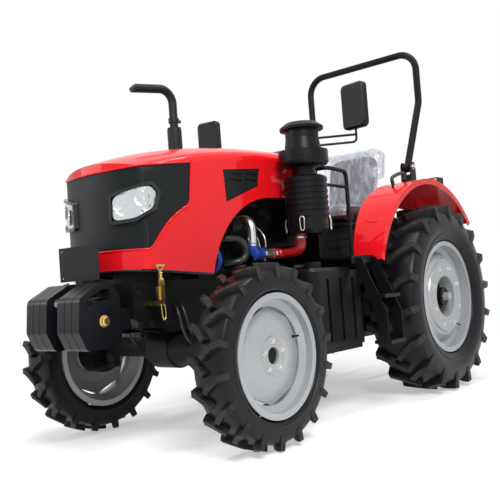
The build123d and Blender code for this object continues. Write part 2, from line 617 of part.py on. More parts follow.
lean = math.degrees(math.atan2(tip_x - eye_x, tip_z - eye_z))
fork_top = -rod_length + FORK_CLEAR
lift_rod = rod_z(0, 0, LIFT_ROD_R, fork_top, 0) + rod_z(0, 0, LIFT_ROD_R + 9, fork_top + 60, -140)
lift_rod += rod_y(0, 0, STEER_EYE_R, -14, 14)
lift_rod -= rod_y(0, 0, link_bore, -30, 30)
lift_rod += block((-28, 28), (-FORK_HALF, FORK_HALF), (fork_top, fork_top + 12))
for low in (-FORK_HALF, FORK_HALF - FORK_PLATE):
    lift_rod += block((-28, 28), (low, low + FORK_PLATE), (-rod_length - 28, fork_top + 12))
lift_rod_left = Pos(tip_x, rod_at_y, tip_z) * Rot(0, lean, 0) * lift_rod

# Hood


def hood_section(x, crest, inset):
    half = HOOD_HALF - inset
    top = crest - inset
    edge = top - HOOD_CROWN
    base = SILL_REAR_Z - 60
    line = Line((half, edge), (half, base)) + Line((half, base), (-half, base)) + Line((-half, base),
                                        (-half, edge))
    line += ThreePointArc((-half, edge), (0, top), (half, edge))
    face = make_face(line)
    face = fillet(face.vertices().sort_by(Axis.Y)[2:], HOOD_SHOULDER_R)
    return Plane(origin=(x, 0, 0), x_dir=(0, 1, 0), z_dir=(1, 0, 0)) * face


def hood_block(inset):
    """The hood as a full block, drawn in by inset all over."""
    crest_x = (HOOD_REAR, HOOD_REAR + 450, WHEELBASE + 70, NOSE_X)
    body = loft([hood_section(x, crest, inset) for x, crest in zip(crest_x, HOOD_CREST)])
    half = HOOD_HALF - inset
    nose = NOSE_X - inset
    corner_x = nose - NOSE_SWEEP
    plan = Line((HOOD_REAR, half), (corner_x, half)) + ThreePointArc((corner_x, half), (nose, 0),
                                        (corner_x, -half))
    plan += Line((corner_x, -half), (HOOD_REAR, -half)) + Line((HOOD_REAR, -half), (HOOD_REAR, half))
    plan_face = make_face(plan)
    plan_face = fillet(plan_face.vertices().sort_by(Axis.X)[2:], NOSE_CORNER_R - inset)
    return body & extrude(Pos(0, 0, SILL_REAR_Z - 100) * plan_face, amount=1200)


def hood_side():
    """Side view of the hood: sill, wheel arch and rear edge."""
    rear = HOOD_REAR - 10
    front = NOSE_X + 50
    arch_rear = (HOOD_REAR + 270, ARCH_TOP_Z - 12)
    arch_front = (SILL_REAR_X - 14, SILL_REAR_Z + 44)
    line = Line((rear, ARCH_TOP_Z), arch_rear)
    line += ThreePointArc(arch_rear, (WHEELBASE - 268, 1286), arch_front)
    line += Polyline(arch_front, (SILL_REAR_X, SILL_REAR_Z), (front, SILL_FRONT_Z), (front, 1900),
                     (rear, 1900),
                     (rear, ARCH_TOP_Z))
    return make_face(line)


def nose_view(gap):
    """Side view of the dark nose and front side panel, drawn in by a gap."""
    front = NOSE_X + 60
    rear = WHEELBASE + 74 + gap
    low = 1098 + gap
    line = Polyline((front, 1524 - gap), (rear, 1585 - gap), (rear + 32, 1345 + gap))
    line += ThreePointArc((rear + 32, 1345 + gap), (NOSE_X - 230, 1225 + gap), (NOSE_X - 120, low))
    line += Polyline((NOSE_X - 120, low), (front, low + 6), (front, 1524 - gap))
    return make_face(line)


def vent_view(gap):
    front = WHEELBASE - 192 - gap
    rear = WHEELBASE - 538 + gap
    return outline((front, 1562 - gap), (rear, 1594 - gap), (rear + 24, 1482 + gap),
                   (front - 12, 1370 + 2 * gap))


across_hood = (-HOOD_HALF - 10, HOOD_HALF + 10)
left_only = (100, HOOD_HALF + 10)
hood_outer = hood_block(0)
panel_outer = hood_block(PANEL_SINK)
panel_inner = hood_block(PANEL_SINK + HOOD_WALL)
hinge_lug = block((HOOD_REAR, HOOD_REAR + 60), (HINGE_Y - HINGE_LUG / 2, HINGE_Y + HINGE_LUG / 2),
                  (HINGE_Z - 20, HINGE_Z + 42))
hinge_lug -= rod_y(HINGE_X, HINGE_Z, HINGE_PIN_R + SEAT_GAP, HINGE_Y - 2 * HINGE_LUG, HINGE_Y + 2 * HINGE_LUG)
hood_shell = (hood_outer - hood_block(HOOD_WALL)) & slab(hood_side(), *across_hood)
hood_shell = hood_shell - slab(nose_view(0), *across_hood) - slab(vent_view(0), *across_hood)
hood_shell += both_sides(hinge_lug)

panel_skin = panel_outer - panel_inner
rebate_skin = hood_block(HOOD_WALL + SEAT_GAP) - panel_inner
nose_panel = panel_skin & slab(nose_view(PANEL_GAP), *across_hood)
nose_panel += rebate_skin & slab(nose_view(-PANEL_REBATE), *across_hood)
vent_left = panel_skin & slab(vent_view(PANEL_GAP), *left_only)
vent_left += rebate_skin & slab(vent_view(-PANEL_REBATE), *left_only)
for row in (1548, 1510):
    for start in (WHEELBASE - 500, WHEELBASE - 360):
        slot_z = row - (start - WHEELBASE + 500) * 0.06
        vent_left -= block((start, start + VENT_SLOT[0]), left_only, (slot_z, slot_z + VENT_SLOT[1]))

lamp_plane = Plane(origin=(NOSE_X - 90, 300, 0), x_dir=(-0.66, 0.75, 0), z_dir=(0.75, 0.66, 0))
lamp_face = outline((-174, 1238), (-170, 1400), (72, 1456), (112, 1404), (88, 1304), (-20, 1245))
lamp_face = fillet(lamp_face.vertices(), 24)
left_half = block((0, NOSE_X + 500), (60, 900), (0, 3000))
lamp_skin = (hood_block(-LAMP_PROUD) - panel_outer) & left_half
bezel = lamp_skin & extrude(lamp_plane * lamp_face, amount=200, both=True)
lens_prism = extrude(lamp_plane * offset(lamp_face, -LAMP_RIM), amount=200, both=True)
headlamp_left = bezel - (lens_prism - hood_block(LAMP_LENS_SINK - LAMP_PROUD))

# Hood latches on the frame: foot, lever and the wire loop that goes up over the sill

latch_y = HOOD_HALF + 12
latch_left = block((LATCH_X - 16, LATCH_X + 16), (FRAME_WIDE_HALF, latch_y), (800, 824))
latch_left += block((LATCH_X - 20, LATCH_X + 20), (latch_y - 6, latch_y + 12), (800, 900))
latch_left += block((LATCH_X - 12, LATCH_X + 12), (latch_y + 4, latch_y + 26), (830, 930))
latch_loop = outline((LATCH_X - 7, 925), (LATCH_X - 7, 974), (LATCH_X - 32, 1012), (LATCH_X + 32, 1012),
                     (LATCH_X + 7, 974),
                     (LATCH_X + 7, 925)) - outline((LATCH_X, 980), (LATCH_X - 18, 1004), (LATCH_X + 18, 1004))
latch_left += slab(latch_loop, latch_y + 4, latch_y + 12)
latch_left += block((LATCH_X - 30, LATCH_X + 30), (latch_y, latch_y + 16), (1004, 1014))

# Radiator and intake pipes

radiator_x = WHEELBASE + 120
radiator = block((radiator_x, radiator_x + 80), (-RADIATOR_HALF, RADIATOR_HALF), (FRAME_TOP, RADIATOR_TOP))
radiator += block((radiator_x - 12, radiator_x + 92), (-RADIATOR_HALF, RADIATOR_HALF),
                  (RADIATOR_TOP - 50, RADIATOR_TOP))
radiator += rod_x(0, FAN_Z, FAN_R + 25, radiator_x - 60, radiator_x)
cx, cy = CHARGE_AT
pipe_end = AIR_AT[0] + 83
charge_pipe = [tube([(cx, HEAD_HALF + SEAT_GAP, 1280), (cx, cy, 1280), (cx, cy, 1130)], PIPE_R, 60),
               tube([(cx - 100, cy, PIPE_Z), (pipe_end, cy, PIPE_Z)], PIPE_R, 1)]
hose_top = 1130 - SEAT_GAP
blue_hose = tube([(cx, cy, hose_top), (cx, cy, PIPE_Z), (cx - 100 + SEAT_GAP, cy, PIPE_Z)], HOSE_R, 40)
red_elbow = tube([(pipe_end - SEAT_GAP, cy, PIPE_Z), (AIR_AT[0], cy, PIPE_Z),
                  (AIR_AT[0], AIR_AT[1] - 70, PIPE_Z), (AIR_AT[0], AIR_AT[1] - 70, AIR_BOTTOM - SEAT_GAP)],
                  HOSE_R, 55)

# Driver's place

floor = block((FLOOR_STEP_X, FLOOR_FRONT), (-FLOOR_OUTER, FLOOR_OUTER), (FLOOR_UNDER, FLOOR_Z))
floor += block((FLOOR_REAR, FLOOR_STEP_X), (-FLOOR_INNER, FLOOR_INNER), (FLOOR_UNDER, FLOOR_Z))
floor += block((FLOOR_STEP_X - 120, FLOOR_STEP_X), (-FLOOR_CORNER, FLOOR_CORNER), (FLOOR_UNDER, FLOOR_Z))
for skirt in ((STEP_X[0] + STEP_PLATE + SEAT_GAP, STEP_X[1] - SEAT_GAP),
              (STEP_X[1] + STEP_PLATE + SEAT_GAP, FLOOR_FRONT)):
    floor += both_sides(block(skirt, (FLOOR_OUTER - 6, FLOOR_OUTER), (FLOOR_UNDER - 40, FLOOR_UNDER)))

firewall_view = outline((-FIREWALL_HALF, FLOOR_Z), (-FIREWALL_HALF, FIREWALL_TOP - 22),
                        (-FIREWALL_HALF + 40, FIREWALL_TOP),
                        (FIREWALL_HALF - 40, FIREWALL_TOP), (FIREWALL_HALF, FIREWALL_TOP - 22),
                        (FIREWALL_HALF, FLOOR_Z))
dash = plate_x(firewall_view, FIREWALL_X, FIREWALL_THICK)
console_view = outline((930, FLOOR_Z), (FIREWALL_X, FLOOR_Z), (FIREWALL_X, 1760), (1000, 1790), (905, 1735),
                       (860, 1640),
                       (890, 1560))
console = slab(console_view, -DASH_HALF, DASH_HALF)
dash += fillet(console.edges().filter_by(Axis.Y).sort_by(Axis.Z)[-4:], 24)
column = Pos(STEER_WHEEL_AT[0], 0, STEER_WHEEL_AT[1]) * Rot(0, -STEER_WHEEL_TILT, 0)
dash += column * (rod_z(0, 0, COLUMN_R, -380, -45) + rod_z(0, 0, STEER_SHAFT_R, -45, -2))
post_low = HINGE_Y + HINGE_LUG / 2 + 1
hinge_arm = outline((FIREWALL_X, 1560), (FIREWALL_X, 1610), (HINGE_X - 14, 1650), (HINGE_X - 14, HINGE_Z),
                    (HINGE_X + 14, HINGE_Z), (HINGE_X + 14, 1620))
hinge_post = slab(hinge_arm, post_low, post_low + 8) + rod_y(HINGE_X, HINGE_Z, 14, post_low, post_low + 8)
hinge_post += rod_y(HINGE_X, HINGE_Z, HINGE_PIN_R, HINGE_Y - 14, post_low + 4)
dash += both_sides(hinge_post)

ring_r = STEER_WHEEL_R - STEER_WHEEL_GRIP
grip = Pos(0, ring_r) * RegularPolygon(STEER_WHEEL_GRIP, 10)
wheel_ring = Pos(0, 0, 20) * Rot(0, 90, 0) * revolve(Plane.XY * grip, axis=Axis.X, revolution_arc=360)
steering_wheel = wheel_ring + rod_z(0, 0, 42, -20, 18) - rod_z(0, 0, STEER_SHAFT_R + SEAT_GAP, -40, -1)
for angle in (90, 210, 330):
    steering_wheel += Rot(0, 0, angle) * tube([(30, 0, 5), (ring_r, 0, 20)], 10, 1, 6)
steering_wheel = column * steering_wheel

seat_base = block((20, 330), (-140, 140), (FLOOR_Z, FLOOR_Z + 60))
for z in (FLOOR_Z + 60, FLOOR_Z + 125, FLOOR_Z + 190):
    seat_base += block((40, 310), (-125, 125), (z, z + 33)) + block((30, 320), (-140, 140), (z + 32, z + 65))
seat_base += block((SEAT_REAR + 30, SEAT_FRONT - 40), (-SEAT_HALF + 30, SEAT_HALF - 30),
                   (FLOOR_Z + 255, SEAT_BOTTOM))
seat_cushion = block((SEAT_REAR, SEAT_FRONT), (-SEAT_HALF, SEAT_HALF), (SEAT_BOTTOM + SEAT_GAP, SEAT_TOP))
seat_cushion = fillet(seat_cushion.edges().filter_by(Axis.Y).sort_by(Axis.X)[-2:], 45)
seat_back = block((-SEAT_BACK_THICK, 0), (-SEAT_HALF, SEAT_HALF), (0, SEAT_BACK_LENGTH))
seat_back = fillet(seat_back.edges().filter_by(Axis.X).sort_by(Axis.Z)[-2:], 90)
seat_back = Pos(SEAT_REAR - SEAT_GAP, 0, SEAT_BOTTOM + 40) * Rot(0, -SEAT_BACK_LEAN, 0) * seat_back

levers = []
for x, y, height, knob_x in ((560, 150, 370, -60), (520, -150, 330, -50), (330, 330, 300, 40),
                             (330, -330, 300, 40)):
    lever = tube([(x, y, FLOOR_Z), (x, y, FLOOR_Z + height * 0.5), (x + knob_x, y, FLOOR_Z + height)], 9, 40,
                 8)
    levers.append(lever + Pos(x + knob_x, y, FLOOR_Z + height) * Cylinder(20, 46))
for y in (-290, -215, 250):
    pedal = tube([(905, y, FLOOR_Z), (905, y, FLOOR_Z + 50), (800, y, FLOOR_Z + 190)], 10, 30, 8)
    levers.append(pedal + Pos(795, y, FLOOR_Z + 195) * Rot(0, -50, 0) * Box(70, 62, 10))

# Fenders, their handles and lamps


def fender_band(outer, inner, y_low, y_high):
    """A curved strip about the fender's centre, between its front and rear ends."""
    reach = 2 * FENDER_R
    angles = (FENDER_FROM, (FENDER_FROM + FENDER_TO) / 2, FENDER_TO)
    rays = [(reach * math.cos(math.radians(a)), reach * math.sin(math.radians(a))) for a in angles]
    strip = (Circle(outer) - Circle(inner)) & outline((0, 0), *rays)
    return Pos(FENDER_AT[0], 0, FENDER_AT[1]) * slab(strip, y_low, y_high)


def around_fender(angle, height):
    """A point at an angle about the fender's centre, a height above its skin."""
    reach = FENDER_R + height
    return (FENDER_AT[0] + reach * math.cos(math.radians(angle)),
            FENDER_AT[1] + reach * math.sin(math.radians(angle)))


fender_left = fender_band(FENDER_R, FENDER_R - FENDER_WALL, FENDER_INNER, FENDER_OUTER)
fender_left += fender_band(FENDER_R, FENDER_R - FENDER_LIP, FENDER_OUTER - FENDER_WALL, FENDER_OUTER)
fender_left += fender_band(FENDER_R, FENDER_R - FENDER_SIDE, FENDER_INNER, FENDER_INNER + FENDER_WALL)
taper_z = around_fender(FENDER_FROM + TAPER_ANGLE, 0)[1]
low_z = around_fender(FENDER_FROM, 0)[1]
taper_end = (FENDER_INNER + FENDER_TAPER, low_z - FENDER_LIP * 2)
taper_cut = outline((FENDER_INNER - 1, taper_z), (FENDER_INNER - 1, taper_end[1]), taper_end,
                    (FENDER_INNER, taper_z))
fender_left -= plate_x(taper_cut, FENDER_AT[0], 2 * FENDER_R)
cheek_cut = outline((FENDER_INNER, taper_z), taper_end, (taper_end[0] + FENDER_WALL, taper_end[1]),
                    (FENDER_INNER + FENDER_WALL, taper_z))
fender_lip = fender_band(FENDER_R, FENDER_R - FENDER_LIP, FENDER_INNER, FENDER_OUTER)
fender_left += fender_lip & plate_x(cheek_cut, FENDER_AT[0], 2 * FENDER_R)

fender_solid = Pos(FENDER_AT[0], 0, FENDER_AT[1]) * rod_y(0, 0, FENDER_R + SEAT_GAP, FENDER_INNER,
                                        FENDER_OUTER)
handle_points = [around_fender(a, h) for a, h in zip((HANDLE_ANGLES[0] - 1, HANDLE_ANGLES[0],
                                        HANDLE_ANGLES[1],
                                                      HANDLE_ANGLES[1] + 1),
                                        (-12, HANDLE_RISE, HANDLE_RISE, -12))]
handle = tube([(x, HANDLE_Y, z) for x, z in handle_points], HANDLE_R, 24, 8) - fender_solid
lamp_x, lamp_z = around_fender(LAMP_ANGLE, 0)
lamp_left = block((lamp_x - LAMP_SIZE[0] / 2, lamp_x + LAMP_SIZE[0] / 2),
                  (HANDLE_Y - 20, HANDLE_Y - 20 + LAMP_SIZE[1]),
                  (lamp_z - 30, lamp_z + LAMP_SIZE[2])) - fender_solid

# Handrails beside the steps

rail_rear = FLOOR_STEP_X + 50
rail_front = FIREWALL_X + FIREWALL_THICK / 2
rail_left = tube([(rail_front, FIREWALL_HALF + SEAT_GAP, RAIL_TOP), (rail_front, RAIL_Y, RAIL_TOP),
                  (rail_rear, RAIL_Y, RAIL_TOP - 10), (rail_rear, RAIL_Y, FLOOR_Z + SEAT_GAP)], RAIL_R, 45)
rail_left += tube([(rail_front, FIREWALL_HALF + SEAT_GAP, RAIL_TOP - 110),
                   (rail_front, RAIL_Y - 20, RAIL_TOP - 110),
                   (rail_rear, RAIL_Y, RAIL_TOP - 118)], RAIL_R - 3, 30)

# Roll bar and its posts

hx, hy, hz = ROPS_HINGE
bx, by, bz = ROPS_BEND
hoop_path = [(hx, hy, hz), (bx, by, bz), (bx, by, ROPS_TOP_Z), (bx, -by, ROPS_TOP_Z), (bx, -by, bz),
             (hx, -hy, hz)]
hoop = tube(hoop_path, ROPS_TUBE_R, ROPS_CORNER_R)
hoop += both_sides(rod_y(hx, hz, ROPS_EYE_R, hy - ROPS_EYE_HALF, hy + ROPS_EYE_HALF))
hoop -= rod_y(hx, hz, ROPS_PIN_R + SEAT_GAP, -2 * hy, 2 * hy)
post_y = hy - 25
plate_at = (hy - ROPS_EYE_HALF - RUN_GAP - ROPS_PLATE, hy + ROPS_EYE_HALF + ROPS_LEAN_GAP)
post = rod_z(hx, post_y, ROPS_TUBE_R, REAR_TYRE_R + TRUMPET_R + ROPS_FOOT - 5, hz - 70)
plate_view = outline((hx - ROPS_PLATE_HALF, hz - 130), (hx - ROPS_PLATE_HALF, hz + 10), (hx - 24, hz + 42),
                     (hx + 24, hz + 42),
                     (hx + ROPS_PLATE_HALF, hz + 10), (hx + ROPS_PLATE_HALF, hz - 130))
for y in plate_at:
    post += slab(plate_view, y, y + ROPS_PLATE)
post += block((hx - ROPS_PLATE_HALF, hx + ROPS_PLATE_HALF), (plate_at[0], plate_at[1] + ROPS_PLATE),
              (hz - 130, hz - 62))
post += rod_y(hx, hz, ROPS_PIN_R, plate_at[0] - 10, plate_at[1] + ROPS_PLATE + 10)
foot_z = REAR_TYRE_R + TRUMPET_R
rops_post_left = post + block((hx - 45, TRUMPET_R), (post_y - 45, post_y + 40), (foot_z, foot_z + ROPS_FOOT))

# Tank, battery box and steps

tank_plan = Pos((TANK_FROM + TANK_TO) / 2, (TANK_INNER + TANK_OUTER) / 2) * RectangleRounded(
    TANK_TO - TANK_FROM, TANK_OUTER - TANK_INNER, TANK_CORNER_R)
tank = extrude(Pos(0, 0, TANK_BOTTOM) * tank_plan, amount=TANK_TOP - TANK_BOTTOM)
tank = chamfer(tank.faces().sort_by(Axis.Z)[-1].edges(), 22)
groove_pitch = (TANK_TO - TANK_FROM) / 4
for index in (1, 2, 3):
    x = TANK_FROM + index * groove_pitch
    tank -= block((x - TANK_GROOVE[0] / 2, x + TANK_GROOVE[0] / 2),
                  (TANK_OUTER - TANK_GROOVE[1], TANK_OUTER + 10),
                  (TANK_BOTTOM + 40, TANK_TOP - 70))
for y in (TANK_INNER + 120, TANK_INNER + 230):
    tank -= block((TANK_TO - TANK_GROOVE[1], TANK_TO + 10), (y - TANK_GROOVE[0] / 2, y + TANK_GROOVE[0] / 2),
                  (TANK_BOTTOM + 40, TANK_TOP - 70))
tank += rod_z(TANK_TO - 150, TANK_OUTER - 110, 52, TANK_TOP, TANK_TOP + 40)
cradle_x = (TANK_FROM + 40, TANK_TO - 60)
cradle = block(cradle_x, (GEARBOX_HALF, TANK_OUTER - 20), (TANK_BOTTOM - CRADLE_THICK, TANK_BOTTOM))
cradle += block((cradle_x[0], ENGINE_REAR - 20), (GEARBOX_HALF, TANK_INNER - 10),
                (TANK_BOTTOM - CRADLE_THICK, 780))
battery_box = other_side(block(BATTERY_X, (TANK_INNER, BATTERY_OUTER), (TANK_BOTTOM, BATTERY_TOP)))
battery_box = chamfer(battery_box.edges().filter_by(Axis.Z), 14)
lid = other_side(block((BATTERY_X[0] - 8, BATTERY_X[1] + 8), (TANK_INNER - 8, BATTERY_OUTER + 8),
                       (BATTERY_TOP - 50, BATTERY_TOP)))
battery_box += lid

step_view = outline((640, FLOOR_UNDER), (715, FLOOR_UNDER), (875, 640), (875, 440), (800, 440), (800, 620))
steps_left = plate_x(step_view, STEP_X[0], STEP_PLATE) + plate_x(step_view, STEP_X[1], STEP_PLATE)
for y, z in STEP_TREADS:
    tread = block((STEP_X[0], STEP_X[1] + STEP_PLATE), y, (z, z + TREAD_HEIGHT))
    for hole in range(3):
        x = STEP_X[0] + 36 + hole * 46
        tread -= block((x, x + 30), (y[0] + 30, y[1] - 30), (z - 1, z + TREAD_HEIGHT + 1))
    steps_left += tread

# Air cleaner with its pre-cleaner, exhaust, mirrors

air_profile = [(0, AIR_BOTTOM), (AIR_R - 34, AIR_BOTTOM), (AIR_R - 12, AIR_BOTTOM + 24),
               (AIR_R - 12, AIR_BOTTOM + 96),
               (AIR_R, AIR_BOTTOM + 108)]
for rib in range(6):
    z = AIR_BOTTOM + 130 + rib * 36
    air_profile += [(AIR_R, z), (AIR_R - 5, z + 4), (AIR_R - 5, z + 12), (AIR_R, z + 16)]
air_profile += [(AIR_R, AIR_TOP - 14), (AIR_R - 20, AIR_TOP), (70, AIR_TOP), (70, AIR_TOP + 56),
                (146, AIR_TOP + 70),
                (158, AIR_TOP + 86), (158, AIR_TOP + 160), (118, AIR_TOP + 168), (106, AIR_TOP + 240),
                (106, AIR_TOP + 290),
                (138, AIR_TOP + 296), (140, AIR_TOP + 312), (104, AIR_TOP + 340), (0, AIR_TOP + 350)]
air_cleaner = spindle(air_profile, *AIR_AT)

ex, ey = EXHAUST_AT
exhaust = tube([(ex, -HEAD_HALF - SEAT_GAP, 1290), (ex, ey, 1290), (ex, ey, EXHAUST_TOP),
                (ex + 330, ey - 45, EXHAUST_TOP - 34)], EXHAUST_R, EXHAUST_BEND)
exhaust -= Pos(ex + 330, ey - 45, EXHAUST_TOP - 34) * Rot(0, -42, 0) * Pos(60, 0, 0) * Box(120, 200, 240)
shield_r = EXHAUST_R + SHIELD_GAP
exhaust += rod_z(ex, ey, shield_r, *SHIELD_Z) + rod_z(ex, ey, EXHAUST_R + 7, CLAMP_Z - 16, CLAMP_Z + 16)
exhaust += block((ex - 62, ex - 28), (ey - 9, ey + 9), (CLAMP_Z - 10, CLAMP_Z + 10))

mirror_view = RectangleRounded(MIRROR_SIZE[1], MIRROR_SIZE[2], 34)
mirror_head = plate_x(mirror_view, -MIRROR_SIZE[0] / 2, MIRROR_SIZE[0])
mirror_head = chamfer(mirror_head.faces().sort_by(Axis.X)[-1].edges(), 12)
mx, my, mz = MIRROR_AT
stem_low = mz - MIRROR_SIZE[2] / 2 - 90
mirror_post_x = FIREWALL_X - 14
mirror_left = Pos(*MIRROR_AT) * Rot(0, 0, -8) * mirror_head
mirror_left += tube([(mx, my, mz - MIRROR_SIZE[2] / 2 + 10), (mx, my, stem_low),
                     (mirror_post_x, FIREWALL_HALF - 15, stem_low - 10)],
                    MIRROR_ARM_R, 30, 8)
mirror_left += tube([(mx, my, stem_low + 50), (mirror_post_x, FIREWALL_HALF - 15, stem_low + 40)],
                    MIRROR_ARM_R, 1, 8)
mirror_left += block((mirror_post_x - 14, FIREWALL_X - SEAT_GAP), (FIREWALL_HALF - 50, FIREWALL_HALF - 6),
                     (1380, stem_low + 60))

# Nose weights and number plate

weight_low, weight_high = 600, 945
weight_view = outline((weight_rear, weight_low + 10), (weight_rear, 870), (weight_rear + 68, weight_high),
                      (weight_rear + 118, weight_high - 4), (WEIGHT_FRONT - 14, 868), (WEIGHT_FRONT, 700),
                      (WEIGHT_FRONT - 48, weight_low))
weight_view = fillet(weight_view.vertices(), WEIGHT_ROUND)
slot_view = outline((weight_rear + 66, 856), (weight_rear + 66, 906), (weight_rear + 106, 908),
                    (WEIGHT_FRONT - 58, 862),
                    (WEIGHT_FRONT - 58, 826))
slot_view = fillet(slot_view.vertices(), 13)
one_weight = slab(weight_view - slot_view, 0, WEIGHT_THICK)
weight_pitch = WEIGHT_THICK + WEIGHT_GROOVE
weights_left = Pos(0, WEIGHT_INNER, 0) * one_weight
for index in range(1, WEIGHT_COUNT):
    weights_left += Pos(0, WEIGHT_INNER + index * weight_pitch, 0) * one_weight
bolt_end = WEIGHT_INNER + WEIGHT_COUNT * weight_pitch + 14
weights_left += rod_y(weight_rear + 112, 744, WEIGHT_BOLT_R, WEIGHT_INNER, bolt_end)

plate_half = PLATE_SIZE[0] / 2
number_plate = block((PLATE_X, PLATE_X + PLATE_THICK), (-plate_half, plate_half),
                     (PLATE_BOTTOM, PLATE_BOTTOM + PLATE_SIZE[1]))
for y in (-plate_half + 24, plate_half - 24):
    for z in (PLATE_BOTTOM + 20, PLATE_BOTTOM + PLATE_SIZE[1] - 20):
        number_plate -= rod_x(y, z, PLATE_HOLE_R, PLATE_X - 10, PLATE_X + 20)
number_plate += block((PLATE_X, PLATE_X + PLATE_THICK), (-24, 24), (740, PLATE_BOTTOM))
number_plate += block((weight_rear + 60, PLATE_X + PLATE_THICK), (-24, 24), (740, 780))

parts = {
    "tyre_front_left": front_tyre, "tyre_front_right": other_side(front_tyre),
    "tyre_rear_left": rear_tyre, "tyre_rear_right": other_side(rear_tyre),
    "rim_front_left": front_rim_left, "rim_front_right": other_side(front_rim_left),
    "rim_rear_left": rear_rim_left, "rim_rear_right": other_side(rear_rim_left),
    "knuckle_left": knuckle_left, "knuckle_right": other_side(knuckle_left),
    "front_axle": front_axle, "steering_rod": steering_rod, "front_frame": front_frame,
    "engine": engine, "gearbox": gearbox,
    "radiator": radiator, "charge_pipe": charge_pipe, "blue_hose": blue_hose, "red_elbow": red_elbow,
    "hood_shell": hood_shell, "hood_panels": [nose_panel, vent_left, other_side(vent_left)],
    "headlamps": [headlamp_left, other_side(headlamp_left)],
    "hood_latches": [latch_left, other_side(latch_left)],
    "floor": floor, "dash": dash, "steering_wheel": steering_wheel,
    "seat_base": seat_base, "seat_cushion": seat_cushion, "seat_back": seat_back, "levers": levers,
    "fender_left": fender_left, "fender_right": other_side(fender_left),
    "handrails": [handle, other_side(handle), rail_left, other_side(rail_left)],
    "rear_lamps": [lamp_left, other_side(lamp_left)],
    "rops_hoop": hoop, "rops_posts": [rops_post_left, other_side(rops_post_left)],
    "fuel_tank": tank, "battery_box": battery_box,
    "steps": [steps_left, other_side(steps_left), cradle, other_side(cradle)],
    "air_cleaner": air_cleaner, "exhaust": exhaust,
    "mirrors": [mirror_left, other_side(mirror_left)],
    "weights": [weights_left, other_side(weights_left)], "number_plate": number_plate,
    "drawbar": drawbar, "top_link": top_link,
    "lower_links": [lower_link_left, other_side(lower_link_left)], "lift_arms": lift_arms,
    "lift_rods": [lift_rod_left, other_side(lift_rod_left)],
}

os.makedirs("parts", exist_ok=True)
for node, shape in parts.items():
    save(Compound(children=shape) if isinstance(shape, list) else shape, node)
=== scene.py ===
from math import copysign, cos, exp, pi, radians, sin, sqrt, tan

import bmesh
import bpy
from mathutils import Matrix, Vector, noise
from mathutils.bvhtree import BVHTree


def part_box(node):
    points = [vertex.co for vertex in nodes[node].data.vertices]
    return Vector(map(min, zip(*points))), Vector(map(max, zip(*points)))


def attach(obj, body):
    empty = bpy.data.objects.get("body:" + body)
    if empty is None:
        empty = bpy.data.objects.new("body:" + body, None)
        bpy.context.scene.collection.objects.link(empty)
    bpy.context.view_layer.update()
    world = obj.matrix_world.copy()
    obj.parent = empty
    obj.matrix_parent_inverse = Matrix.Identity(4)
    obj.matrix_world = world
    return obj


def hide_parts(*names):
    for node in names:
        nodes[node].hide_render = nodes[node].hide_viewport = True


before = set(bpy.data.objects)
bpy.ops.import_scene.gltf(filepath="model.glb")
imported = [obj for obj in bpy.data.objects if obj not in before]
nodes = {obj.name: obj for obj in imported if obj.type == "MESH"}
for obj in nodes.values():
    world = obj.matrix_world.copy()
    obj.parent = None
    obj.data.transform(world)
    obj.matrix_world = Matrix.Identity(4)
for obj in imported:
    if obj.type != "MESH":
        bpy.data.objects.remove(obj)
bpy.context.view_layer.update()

scene = bpy.context.scene

# Studio: a pale floor that runs out into a white backdrop, a broad soft key light from the front left,
# a fill from the right and a strip overhead that draws the long highlight on the hood.
scene.view_settings.view_transform = "Standard"
for left_over in ("Camera", "Light", "Cube"):
    if left_over in bpy.data.objects:
        bpy.data.objects.remove(bpy.data.objects[left_over])

REAR_AXLE_X = -0.9255


def from_axle(x, y, z):
    """A point measured forward from the rear axle, in the tractor's own frame."""
    return Vector((x + REAR_AXLE_X, y, z))


CAMERA_AT = from_axle(5.004, 3.132, 0.886)
CAMERA_YAW = 3.835
CAMERA_PITCH = 0.045
CAMERA_ROLL = -0.072
CAMERA_LENS = 51.87
SENSOR_WIDTH = 36

look = Vector((cos(CAMERA_PITCH) * cos(CAMERA_YAW),
               cos(CAMERA_PITCH) * sin(CAMERA_YAW), sin(CAMERA_PITCH)))
level = look.cross(Vector((0, 0, 1))).normalized()
upright = level.cross(look)
across = level * cos(CAMERA_ROLL) + upright * sin(CAMERA_ROLL)
upward = upright * cos(CAMERA_ROLL) - level * sin(CAMERA_ROLL)
camera_data = bpy.data.cameras.new("camera")
camera_data.lens = CAMERA_LENS
camera_data.sensor_width = SENSOR_WIDTH
camera = bpy.data.objects.new("camera", camera_data)
camera.matrix_world = Matrix.Translation(CAMERA_AT) @ Matrix((across, upward, -look)).transposed().to_4x4()
scene.collection.objects.link(camera)
scene.camera = camera


def new_material(name):
    """A node material, its tree and its shader."""
    material = bpy.data.materials.new(name)
    material.use_nodes = True
    return material, material.node_tree, material.node_tree.nodes["Principled BSDF"]


def node(tree, kind, **sockets):
    """Adds a node and sets its input sockets by name."""
    made = tree.nodes.new("ShaderNode" + kind)
    for name, value in sockets.items():
        made.inputs[name.replace("_", " ")].default_value = value
    return made


def link(output, socket):
    """Joins one node's output to another's socket."""
    output.id_data.links.new(output, socket)


def math_node(tree, operation, *values, kind="Math"):
    """Works on two or three values or vectors, each a constant or the output of another node."""
    made = node(tree, kind)
    made.operation = operation
    for socket, value in zip(made.inputs, values):
        if isinstance(value, bpy.types.NodeSocket):
            link(value, socket)
        else:
            socket.default_value = value
    return made.outputs["Value" if operation == "LENGTH" else 0]


def mapped(tree, value, to, span=(0.0, 1.0)):
    """Maps a node's output from one span of values to another."""
    made = node(tree, "MapRange", From_Min=span[0], From_Max=span[1], To_Min=to[0], To_Max=to[1])
    link(value, made.inputs["Value"])
    return made.outputs[0]


